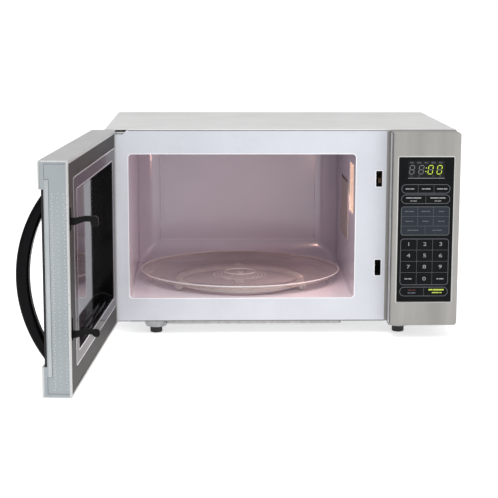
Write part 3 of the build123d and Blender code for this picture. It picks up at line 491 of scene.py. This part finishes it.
# ------------------------------------------------------------------ display
glass_back, glass_face = window_y0 + 0.01, window_y0 - 0.05
segment_half, segment_tip = 0.48, 0.6
digit_half_x, digit_half_z = 3.2, 6.1
lean = 0.13
digit_z = 249.4
dim_digits, lit_digits = (443.0, 456.4), (469.7, 482.6)
colon_x, colon_rise, dot_half = 463.3, 2.6, 0.6


def segment(x, z, upright):
    """One pointed segment of a display digit."""
    length = digit_half_z / 2 - 0.55 if upright else digit_half_x - 0.45
    inner = length - segment_tip
    along = ((-length, 0), (-inner, segment_half), (inner, segment_half),
             (length, 0), (inner, -segment_half), (-inner, -segment_half))
    outline = [(x + (v if upright else u), z + (u if upright else v)) for u, v in along]
    outline = [(px + lean * (pz - digit_z), pz) for px, pz in outline]
    return plaque(outline, glass_back, glass_face)


def ring_segments(x):
    """The six segments that make a nought."""
    shapes = [segment(x, digit_z + side * digit_half_z, False) for side in (-1, 1)]
    for side_x in (-1, 1):
        for side_z in (-1, 1):
            shapes.append(segment(x + side_x * digit_half_x, digit_z + side_z * digit_half_z / 2, True))
    return shapes


def display_icons():
    """Dim blocks over and under the digits, where the display has its words."""
    first_x, pitch, upper_z, lower_z = 442.5, 10.4, 259.6, 240.4
    shapes = []
    for count in range(5):
        half_x = 3.1 if count % 2 else 2.6
        shapes.append(bar(first_x + pitch * count, upper_z, half_x, 1.1, glass_back, glass_face))
    for x in (first_x, 453.0, 473.5, 484.0):
        shapes.append(bar(x, lower_z, 1.5, 0.6, glass_back, glass_face))
    return join(*shapes)


dim_shapes, lit_shapes = [], []
for x in dim_digits:
    dim_shapes += ring_segments(x)
for x in lit_digits:
    lit_shapes += ring_segments(x)
for x in dim_digits + lit_digits:
    dim_shapes.append(segment(x, digit_z, False))
for rise in (-colon_rise, colon_rise):
    lit_shapes.append(bar(colon_x + lean * rise, digit_z + rise, dot_half, dot_half, glass_back, glass_face))
piece("display_segments_dim", *join(*dim_shapes), "cabinet", "display_glass", unlit)
piece("display_segments_lit", *join(*lit_shapes), "cabinet", "display_glass", lit)
piece("display_icons", *display_icons(), "cabinet", "display_glass", faint_grey)
underline_drop, underline_half = 1.2, 0.35
underline = bar(
    (window_x0 + window_x1) / 2, window_z0 - underline_drop, (window_x1 - window_x0) / 2, underline_half,
    ink_back, ink_face,
)
printed("display_underline", [underline], glyph_grey)

# ------------------------------------------------------------------ recess of the key field
field_x0, field_x1, _, _, field_z0, field_z1 = local_box("keypad_membrane")
panel_front = local_box("control_bezel")[2]
# painted highlight: a lighter silver for the recess's sloped edge
bevel_highlight = look("bevel_highlight", (0.40, 0.40, 0.385), (0.48, 0.48, 0.465), 0.3, metallic=0.9, grain=1200)


def recess_bevel():
    """A sloped edge from the panel's face down to the key field, in a lighter finish that paints a highlight on
    it.
    """
    width, outer_radius, inner_radius = 1.5, 2.6, 1.2
    outer_back, inner_back = panel_front + 0.02, field_face + 0.05
    outside = rounded(field_x0 - width, field_x1 + width, field_z0 - width, field_z1 + width, outer_radius)
    inside = rounded(field_x0, field_x1, field_z0, field_z1, inner_radius)
    points = [(x, panel_front, z) for x, z in outside] + [(x, field_face - 0.2, z) for x, z in inside]
    points += [(x, outer_back, z) for x, z in outside] + [(x, inner_back, z) for x, z in inside]
    return points, loop_faces(len(outside))


piece("recess_bevel", *recess_bevel(), "cabinet", "silver_plastic", bevel_highlight)

# ------------------------------------------------------------------ lamp screen
screen_x0, _, screen_y0, screen_y1, screen_z0, screen_z1 = local_box("lamp_screen")
hole_y, hole_z = (31.0, 92.0), (175.0, 248.5)
hole_pitch, hole_radius, sheet = 3.05, 1.3, 0.12
sheet_x = screen_x0 - 0.1
glow_orange = look("lamp_glow", (1.0, 0.70, 0.42), (1.0, 0.78, 0.52), 0.5, glow=(1.0, 0.64, 0.38),
                   glow_strength=1.5)


def screen_cell(y, z):
    """One square cell of the sheet with an eight-sided hole, open at its outer edges."""
    corners = ((-1, -1), (0, -1), (1, -1), (1, 0), (1, 1), (0, 1), (-1, 1), (-1, 0))
    half = hole_pitch / 2
    points, faces = [], []
    for depth in (0.0, sheet):
        points += [(sheet_x + depth, y + u * half, z + v * half) for u, v in corners]
        for step in range(8):
            angle = radians(225 + 45 * step)
            points.append((sheet_x + depth, y + hole_radius * cos(angle), z + hole_radius * sin(angle)))
    for i in range(8):
        j = (i + 1) % 8
        faces.append((i, j, 8 + j, 8 + i))
        faces.append((16 + i, 16 + j, 24 + j, 24 + i))
        faces.append((8 + i, 8 + j, 24 + j, 24 + i))
    return points, faces


def punched_screen():
    """A thin sheet with rows of holes and a plain border."""
    count_y = round((hole_y[1] - hole_y[0]) / hole_pitch)
    count_z = round((hole_z[1] - hole_z[0]) / hole_pitch)
    middles_y = [hole_y[0] + (column + 0.5) * hole_pitch for column in range(count_y)]
    middles_z = [hole_z[0] + (row + 0.5) * hole_pitch for row in range(count_z)]
    shapes = [screen_cell(y, z) for z in middles_z for y in middles_y]
    # the border overlaps the rear half of the last column of holes
    last_y, last_z = middles_y[-1], middles_z[-1] + hole_pitch / 2
    borders = (
        (screen_y0, hole_y[0], screen_z0, screen_z1), (last_y, screen_y1, screen_z0, screen_z1),
        (hole_y[0], last_y, screen_z0, hole_z[0]), (hole_y[0], last_y, last_z, screen_z1),
    )
    shapes += [side_plaque(corners_of(*border), sheet_x, 0.0, sheet) for border in borders]
    return join(*shapes)


piece("lamp_perforation", *punched_screen(), "cabinet", "cavity_enamel", looks["cavity_enamel"],
      replaces=("lamp_screen",))
diffuser = side_plaque(rounded(*hole_y, *hole_z, 3), screen_x0 + 0.04, 0.0, 0.1)
piece("lamp_diffuser", *diffuser, "cabinet", "lamp_glass", glow_orange)

# ------------------------------------------------------------------ edges of the front plate
# painted highlight: a near-white finish for lines where light catches rolled edges
rolled_edge_highlight = look("rolled_edge_highlight", (0.86, 0.86, 0.90), (0.90, 0.90, 0.94), 0.25, grain=700, coat=0.4)
# painted shade: a near-black finish for thin dark strips in gaps and seams
shade_black = look("shade_black", (0.010, 0.010, 0.011), (0.018, 0.018, 0.020), 0.7, grain=900, specular=0.1)
cavity_x0, cavity_x1, _, _, _, cavity_z1 = local_box("cavity_box")
wall, mouth_floor, mouth_radius = 0.8, 55.5, 5.0
mouth_x0, mouth_x1, mouth_z1 = cavity_x0 + wall, cavity_x1 - wall, cavity_z1 - wall


def band_outside(x0, x1, z0, z1, radius, line, back, face):
    """A line of even width that lies just outside a rectangle with round corners."""
    return frame_band(x0 - line, x1 + line, z0 - line, z1 + line, radius + line, line, back, face)


# painted highlights round the cavity's mouth and the latch slots, on their rolled edges
mouth_lip_highlight = band_outside(mouth_x0, mouth_x1, mouth_floor, mouth_z1, mouth_radius, 1.1, 0.3, -0.3)
piece("mouth_lip_highlight", *mouth_lip_highlight, "cabinet", "plate_enamel", rolled_edge_highlight)
slot_x, slot_heights = (395.8, 404.9), ((88.6, 112.3), (220.3, 243.7))
slot_radius, liner_gap, liner_depth = 1.4, 0.05, 7.0
rim_highlights = [band_outside(*slot_x, *heights, slot_radius, 1.2, -0.3, -0.75) for heights in slot_heights]
piece("slot_rim_highlights", *join(*rim_highlights), "cabinet", "plate_enamel", rolled_edge_highlight)
liners = [
    frame_band(slot_x[0] + liner_gap, slot_x[1] - liner_gap, low + liner_gap, high - liner_gap,
               slot_radius - liner_gap, 0.5, liner_depth, -0.4)
    for low, high in slot_heights
]
piece("slot_liners", *join(*liners), "cabinet", "black_plastic", looks["black_plastic"])

# painted shade: a dark strip under the mica's upper edge
mica_x0, _, mica_y0, mica_y1, _, mica_z1 = local_box("mica_cover")
shade_front, shade_rear = mica_y0 + 12, mica_y1 - 6
shade_outline = [(shade_front, mica_z1 - 2.2), (shade_rear, mica_z1 - 2.6), (shade_rear, mica_z1 - 0.4),
               (shade_front, mica_z1 - 0.8)]
piece("mica_edge_shade", *side_plaque(shade_outline, mica_x0 - 0.2, 0.0, 0.5), "cabinet", "mica", shade_black)

# painted highlights: light strips where the back wall meets its rounded edges
crease_highlight = look("crease_highlight", (0.90, 0.84, 0.90), (0.96, 0.90, 0.96), 0.2, tone=8, grain=300,
                     coat=0.5, alpha=0.7)
crease_soft_highlight = look("crease_soft_highlight", (0.80, 0.72, 0.78), (0.86, 0.78, 0.84), 0.25, tone=8, grain=300,
                   coat=0.4, alpha=0.3)
fillet, clear_of_corner, crease_y = 34.0, 1.0, 327.4
run_x = (mouth_x0 + fillet + clear_of_corner, mouth_x1 - fillet - clear_of_corner)
half_run = (run_x[1] - run_x[0]) / 2
floor_crease_highlight = bar(sum(run_x) / 2, mouth_floor + fillet, half_run, 0.5, crease_y, crease_y - 0.6)
piece("floor_crease_highlight", *floor_crease_highlight, "cabinet", "cavity_enamel", crease_highlight)
crease_mid, crease_half = (mouth_floor + mouth_z1) / 2, (mouth_z1 - mouth_floor) / 2 - fillet
corner_crease_highlights = [bar(x, crease_mid, 0.7, crease_half, crease_y, crease_y - 0.5) for x in run_x]
piece("corner_crease_highlights", *join(*corner_crease_highlights), "cabinet", "cavity_enamel", crease_soft_highlight)

# the panel's side: painted shade in a seam behind its front edge, a painted highlight on a ridge and a painted
# shaded strip
_, _, panel_y0, _, panel_z0, panel_z1 = local_box("control_bezel")
panel_side_x, panel_margin = 415.5, 2.0


def side_strip(y0, y1, proud):
    """A flat strip up the panel's left side."""
    outline = corners_of(y0, y1, panel_z0 + panel_margin, panel_z1 - panel_margin)
    return side_plaque(outline, panel_side_x, -proud, 0.2)


ridge_highlight = look("ridge_highlight", grey(0.62), grey(0.70), 0.3, metallic=0.5, tone=60, grain=1200)
shade_grey = look("shade_grey", (0.16, 0.16, 0.165), (0.21, 0.21, 0.215), 0.5, metallic=0.3, grain=1200)
side_strips = (
    ("panel_side_seam_shade", panel_y0 + 4.0, panel_y0 + 8.5, 0.12, shade_black),
    ("panel_side_ridge_highlight", panel_y0 + 10.0, -11.0, 0.3, ridge_highlight),
    ("panel_side_shade", -10.5, -1.0, 0.1, shade_grey),
)
for name, y0, y1, proud, finish in side_strips:
    piece(name, *side_strip(y0, y1, proud), "cabinet", "silver_plastic", finish)

# the cover's folded front edge with a painted highlight, painted shade in the joint between it and the plate, and
# a painted shadow line under the plate
_, _, cover_y0, _, _, cover_z1 = local_box("outer_cover")
corner_x, edge_end_x, shade_end_x, foot_shadow_z = 36.0, 410.0, 411.0, 21.0


def long_bar(end_x, z, half_z, back, face):
    """A bar from the plate's cut corner to a point short of the panel."""
    return bar((corner_x + end_x) / 2, z, (end_x - corner_x) / 2, half_z, cover_y0 + back, cover_y0 + face)


cover_edge_highlight = long_bar(edge_end_x, cover_z1 - 0.45, 0.4, 0.5, -0.25)
piece("cover_edge_highlight", *cover_edge_highlight, "cabinet", "cover_paint", rolled_edge_highlight)
cover_joint_shade = long_bar(shade_end_x, cover_z1 - 1.5, 0.55, 0.5, -0.3)
piece("cover_joint_shade", *cover_joint_shade, "cabinet", "cover_paint", shade_grey)
plate_foot_shadow = long_bar(shade_end_x, foot_shadow_z, 0.8, 2.5, -0.05)
piece("plate_foot_shadow", *plate_foot_shadow, "cabinet", "plate_enamel", shade_grey)

# ------------------------------------------------------------------ door: end face, edges and seal
_, door_x1, door_y0, door_y1, door_z0, door_z1 = shut_box("door_frame")
end_grey = look("end_grey", (0.265, 0.292, 0.308), (0.325, 0.352, 0.368), 0.4, metallic=0.25, tone=24,
                stretch=(1, 1, 0.3), grain=700, bump=0.2, depth=0.0001)
end_light = look("end_light", (0.345, 0.372, 0.382), (0.40, 0.425, 0.435), 0.35, metallic=0.25, tone=30,
                 grain=900)
end_mark = look("end_mark", (0.50, 0.54, 0.56), (0.62, 0.65, 0.67), 0.4, metallic=0.2, tone=90, grain=900)
end_line = look("end_line", (0.13, 0.145, 0.155), (0.18, 0.195, 0.205), 0.5, grain=900, specular=0.2)
edge_silver = look("edge_silver", (0.48, 0.49, 0.49), (0.56, 0.57, 0.57), 0.3, metallic=0.6, tone=12,
                   grain=300, bump=0.01)


def end_plaque(outline, proud):
    """A flat shape on the door's free end, from its outline in y and z."""
    return side_plaque(outline, door_x1, -0.3, proud)


def end_bar(y0, y1, z0, z1, proud):
    """A plain strip on the door's free end."""
    return end_plaque(corners_of(y0, y1, z0, z1), proud)


def on_door(name, shape, finish):
    """A piece on the door's silver moulding."""
    piece(name, *shape, "door", "silver_plastic", finish, place=door)


glass_z0, glass_z1 = shut_box("door_glass")[4:]
inner_edge, outer_edge, behind_glass = door_y1 - 2.6, door_y0 + 2.4, -29.9
ground_low, ground_high = door_z0 + 1.4, door_z1 - 1.4
notch_low, notch_high = glass_z0 - 0.3, glass_z1 + 0.3
ground = [
    (inner_edge, ground_low), (inner_edge, ground_high), (outer_edge, ground_high), (outer_edge, notch_high),
    (behind_glass, notch_high), (behind_glass, notch_low), (outer_edge, notch_low), (outer_edge, ground_low),
]
on_door("door_end_ground", end_plaque(ground, 0.08), end_grey)
on_door("door_end_moulding", end_bar(-28.6, -24.4, 46.0, 281.0, 0.5), end_light)
groove_runs = (
    (-29.6, -28.9, 282.0, 299.8), (-29.6, -2.9, 299.3, 300.0), (-29.6, -24.0, 281.6, 282.3),
    (-24.3, -23.7, 46.0, 282.0), (-29.9, -29.2, 25.6, 46.0), (-29.9, -2.9, 25.2, 25.9),
    (-29.9, -24.0, 45.4, 46.0), (-34.6, -34.1, 270.0, 302.0),
)
on_door("door_end_grooves", join(*[end_bar(*run, 0.14) for run in groove_runs]), end_line)
end_edge = end_bar(door_y1 - 2.5, door_y1 - 1.3, door_z0 + 1.0, door_z1 - 1.0, 0.2)
on_door("door_end_edge", end_edge, edge_silver)


def dimples():
    """Three columns of small six-sided pressed marks on the door's end."""
    lowest, highest, wander = 29.0, 270.0, 0.8
    shapes = []
    for y, pitch, size in ((-20.6, 3.6, 0.62), (-13.8, 5.2, 0.5), (-6.4, 4.1, 0.55)):
        half_y, half_z = 0.7 * size, 1.3 * size
        for step in range(int((highest - lowest) / pitch)):
            middle_y = y + wander * sin(2.3 * step + y)
            middle_z = lowest + pitch * (step + 0.5)
            outline = []
            for corner in range(6):
                turn = pi * corner / 3
                outline.append((middle_y + half_y * cos(turn), middle_z + half_z * sin(turn)))
            shapes.append(end_plaque(outline, 0.2))
    return join(*shapes)


on_door("door_end_dimples", dimples(), end_mark)


def face_edge():
    """Bright edges along the top, the bottom and the free side of the door's inner face."""
    depths = (door_y1 - 0.4, door_y1 + 0.1)
    from_rim, upper_start, lower_start, end_margin = 1.7, 28.0, 12.0, 0.5
    shapes = []
    for start, z in ((upper_start, door_z1 - from_rim), (lower_start, door_z0 + from_rim)):
        half_x = (door_x1 - start) / 2 - end_margin
        shapes.append(bar((start + door_x1) / 2, z, half_x, 0.8, *depths))
    shapes.append(bar(door_x1 - 1.8, (door_z0 + door_z1) / 2, 0.6, (door_z1 - door_z0) / 2 - 3, *depths))
    return join(*shapes)


on_door("door_face_edge", face_edge(), edge_silver)

# painted highlight lines round the seal and round the window, and the window's glossy floor
seal_x, seal_z, seal_face = (23.8, 376.2), (49.8, 280.2), -1.2
pane_x0, pane_x1, _, _, pane_z0, pane_z1 = shut_box("inner_window")
pane_gap, bevel = 1.9, 1.5
line_depths = (seal_face - 0.6, seal_face + 0.1)
seal_highlight = look("seal_highlight", (0.55, 0.53, 0.55), (0.64, 0.62, 0.64), 0.22, metallic=0.6, grain=900)
lines = [
    frame_band(*seal_x, *seal_z, 5, bevel, *line_depths),
    frame_band(pane_x0 - pane_gap, pane_x1 + pane_gap, pane_z0 - pane_gap, pane_z1 + pane_gap, 4.5, bevel,
               *line_depths),
]
piece("seal_bevel_highlights", *join(*lines), "door", "seal_enamel", seal_highlight, place=door)
pane_gloss = look("pane_gloss", (0.004, 0.004, 0.0045), (0.007, 0.0065, 0.007), 0.05, tone=8, grain=120,
                  bump=0.004, coat=0.3, specular=0.35)
wall_step, pane_floor = 6.8, -17.0
pane_sheet = rounded(pane_x0 + wall_step, pane_x1 - wall_step, pane_z0 + wall_step, pane_z1 - wall_step, 4)
window_gloss = plaque(pane_sheet, pane_floor - 0.4, pane_floor + 0.15)
piece("window_gloss", *window_gloss, "door", "pane_film", pane_gloss, place=door)

# ------------------------------------------------------------------ glass tray
tray_low, tray_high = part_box("glass_tray")
tray_centre = (tray_low + tray_high) / 2
tray_radius = (tray_high.x - tray_low.x) / 2 / MM
tray_rim = tray_high.z / MM
tray_depth = 11.5


def tray_profile():
    """Half of the tray's section, as radius and height: underside outwards, then the top inwards."""
    floor = tray_rim - tray_depth
    under = [(0, floor), (26, floor), (27, floor - 0.5), (29, floor - 0.5), (30, floor), (92, floor)]
    under += [(93.5, floor - 0.5), (96, floor - 0.5), (97.5, floor), (134, floor), (141, floor + 0.9)]
    under += [(147, floor + 3.2), (152, floor + 5.4), (155.4, floor + 7.6)]
    lip_steps = ((0.9, 3.4), (0, 2.0), (0.6, 0.6), (2.0, 0), (3.4, 0.6), (4.2, 1.8))
    lip = [(tray_radius - inwards, tray_rim - down) for inwards, down in lip_steps]
    over = [(149.5, floor + 8.4), (145, floor + 7.0), (140, floor + 5.3), (134, floor + 4.4)]
    over += [(110, floor + 4.4), (108.8, floor + 4.0), (107, floor + 4.0), (105.8, floor + 4.4)]
    over += [(48, floor + 4.4), (0, floor + 4.4)]
    return under + lip + over


def lathe(profile):
    """The profile turned round the tray's axis, as points in the frame."""
    steps = 160
    points, faces, rings = [], [], []
    for radius, height in profile:
        if radius == 0:
            rings.append([len(points)])
            points.append((tray_centre.x, tray_centre.y, height * MM))
            continue
        ring = []
        for step in range(steps):
            angle = 2 * pi * step / steps
            ring.append(len(points))
            x = tray_centre.x + radius * MM * cos(angle)
            y = tray_centre.y + radius * MM * sin(angle)
            points.append((x, y, height * MM))
        rings.append(ring)
    for lower, upper in zip(rings, rings[1:]):
        for step in range(steps):
            following = (step + 1) % steps
            corners = [lower[step % len(lower)], lower[following % len(lower)],
                       upper[following % len(upper)], upper[step % len(upper)]]
            faces.append(tuple(dict.fromkeys(corners)))
    return points, faces


def in_frame(x, y, z):
    """A point that is in the frame's metres already."""
    return Vector((x, y, z))


piece("tray_plate", *lathe(tray_profile()), "tray", "tray_glass", looks["tray_glass"], place=in_frame,
      smooth=True, replaces=("glass_tray",))


def hoop(radius, height, thick):
    """A thin hoop about the tray's axis."""
    sides = 10
    section = []
    for side in range(sides + 1):
        turn = 2 * pi * (side % sides) / sides
        section.append((radius + thick * cos(turn), height + thick * sin(turn)))
    return lathe(section)


# painted glints: bright hoops on the rim and round the hub, and the pimples' finish, stand in for light caught by
# the glass
painted_rim_glint = look("painted_rim_glint", (0.90, 0.87, 0.88), (0.96, 0.94, 0.95), 0.12, tone=8, grain=60, bump=0.01,
                 coat=0.6, alpha=0.85)
# painted light: an amber finish for the warm reflection and shade under the rim
rim_amber_reflection = look("rim_amber_reflection", (0.42, 0.27, 0.17), (0.70, 0.58, 0.50), 0.15, tone=26, grain=300, coat=0.6,
                 alpha=0.6)
glint_hoops = join(hoop(tray_radius - 1.5, tray_rim - 1.0, 1.0), hoop(24, tray_rim - 7.0, 0.5))
piece("tray_rim_glint_lines", *glint_hoops, "tray", "tray_glass", painted_rim_glint, place=in_frame, smooth=True)
# painted reflection and shade: an amber hoop under the rim
piece("tray_rim_shade", *hoop(tray_radius - 3.6, tray_rim - 4.6, 0.7), "tray", "tray_glass", rim_amber_reflection,
      place=in_frame, smooth=True)


def pimple(x, y, base_z):
    """A low dome that hangs under a flat face: a tip, three rings of eight points, and a lid."""
    sides = 8
    points = [(x, y, base_z - 0.9)]
    for depth, radius in ((0.7, 0.9), (0.25, 1.6), (-0.05, 1.8)):
        for corner in range(sides):
            turn = 2 * pi * corner / sides
            points.append((x + radius * cos(turn), y + radius * sin(turn), base_z - depth))
    faces = [(0, 1 + i, 1 + (i + 1) % sides) for i in range(sides)]
    for base in (1, 1 + sides):
        for i in range(sides):
            j = (i + 1) % sides
            faces.append((base + i, base + j, base + sides + j, base + sides + i))
    faces.append(tuple(range(1 + 2 * sides, 1 + 3 * sides)))
    return points, faces


def tray_pimples():
    """Rings of small pressed pimples on the underside of the tray's middle."""
    shapes = []
    for ring in range(1, 8):
        radius, count = 5.6 * ring + 2, 8 * ring
        for step in range(count):
            angle = 2 * pi * step / count
            x = tray_centre.x / MM + radius * cos(angle)
            y = tray_centre.y / MM + radius * sin(angle)
            shapes.append(pimple(x, y, tray_rim - tray_depth))
    return join(*shapes)


def row_millimetres(x, y, z):
    """A point given in the frame's axes, in millimetres."""
    return Vector((x * MM, y * MM, z * MM))


# the pimples wear the painted glint finish
piece("tray_pimples", *tray_pimples(), "tray", "tray_glass", painted_rim_glint, place=row_millimetres, smooth=True)

# ------------------------------------------------------------------ stage, light and camera
stage_white = look("stage_white", grey(0.90), grey(0.91), 0.9, grain=30, bump=0.0, glow=grey(1.0),
                   glow_strength=0.55, specular=0.0)
floor_mesh = bpy.data.meshes.new("studio_floor")
reach = 30.0
floor_mesh.from_pydata([(-reach, -reach, 0), (reach, -reach, 0), (reach, reach, 0), (-reach, reach, 0)], [],
                       [(0, 1, 2, 3)])
floor = bpy.data.objects.new("studio_floor", floor_mesh)
bpy.context.scene.collection.objects.link(floor)
floor_mesh.materials.append(stage_white)


def soft_light(name, place, aim, size, power, tint=(1, 1, 1)):
    """A soft box of one width and height at a place, turned towards a point."""
    data = bpy.data.lights.new(name, "AREA")
    data.shape = "RECTANGLE"
    data.size, data.size_y = size
    data.energy = power
    data.color = tint
    holder = bpy.data.objects.new(name, data)
    bpy.context.scene.collection.objects.link(holder)
    holder.location = place
    holder.rotation_euler = (Vector(aim) - Vector(place)).to_track_quat("-Z", "Y").to_euler()


soft_light("key_light", (-0.3, -1.25, 1.95), (0, 0.08, 0.1), (1.4, 0.9), 20)
soft_light("fill_light", (1.2, -1.9, 0.7), (0, 0, 0.15), (0.8, 1.2), 6)
soft_light("top_light", (0.1, 0.2, 1.9), (0, 0.15, 0), (1.4, 1.2), 8)
lamp_place = cabinet(screen_x0 - 6, (screen_y0 + screen_y1) / 2, (screen_z0 + screen_z1) / 2)
lamp_aim = lamp_place + Vector((-0.3, 0.03, -0.05))
soft_light("oven_lamp", lamp_place, lamp_aim, (0.06, 0.07), 0.34, (1.0, 0.58, 0.50))

# the camera sees a white backdrop, while the light that the sky gives is softer
world = bpy.data.worlds.new("studio")
bpy.context.scene.world = world
world.use_nodes = True
sky_nodes, sky_links = world.node_tree.nodes, world.node_tree.links
soft_sky = sky_nodes["Background"]
soft_sky.inputs["Color"].default_value = (1, 1, 1, 1)
soft_sky.inputs["Strength"].default_value = 0.62
backdrop = sky_nodes.new("ShaderNodeBackground")
backdrop.inputs["Color"].default_value = (1, 1, 1, 1)
backdrop.inputs["Strength"].default_value = 1.0
pick = sky_nodes.new("ShaderNodeMixShader")
sky_links.new(sky_nodes.new("ShaderNodeLightPath").outputs["Is Camera Ray"], pick.inputs[0])
sky_links.new(soft_sky.outputs["Background"], pick.inputs[1])
sky_links.new(backdrop.outputs["Background"], pick.inputs[2])
sky_links.new(pick.outputs["Shader"], sky_nodes["World Output"].inputs["Surface"])
bpy.context.scene.view_settings.view_transform = "Standard"

camera_pitch, camera_yaw, camera_roll = radians(9.771), radians(1.683), radians(0.159)
camera_data = bpy.data.cameras.new("camera")
camera_data.sensor_width = 36.0
camera_data.lens = 102.159
camera = bpy.data.objects.new("camera", camera_data)
bpy.context.scene.collection.objects.link(camera)
camera.location = cabinet(150.6, -2043.2, 480.5)
aim = Euler((radians(90) - camera_pitch, 0, -camera_yaw)).to_matrix()
camera.rotation_euler = (aim @ Matrix.Rotation(camera_roll, 3, "Z")).to_euler()
bpy.context.scene.camera = camera
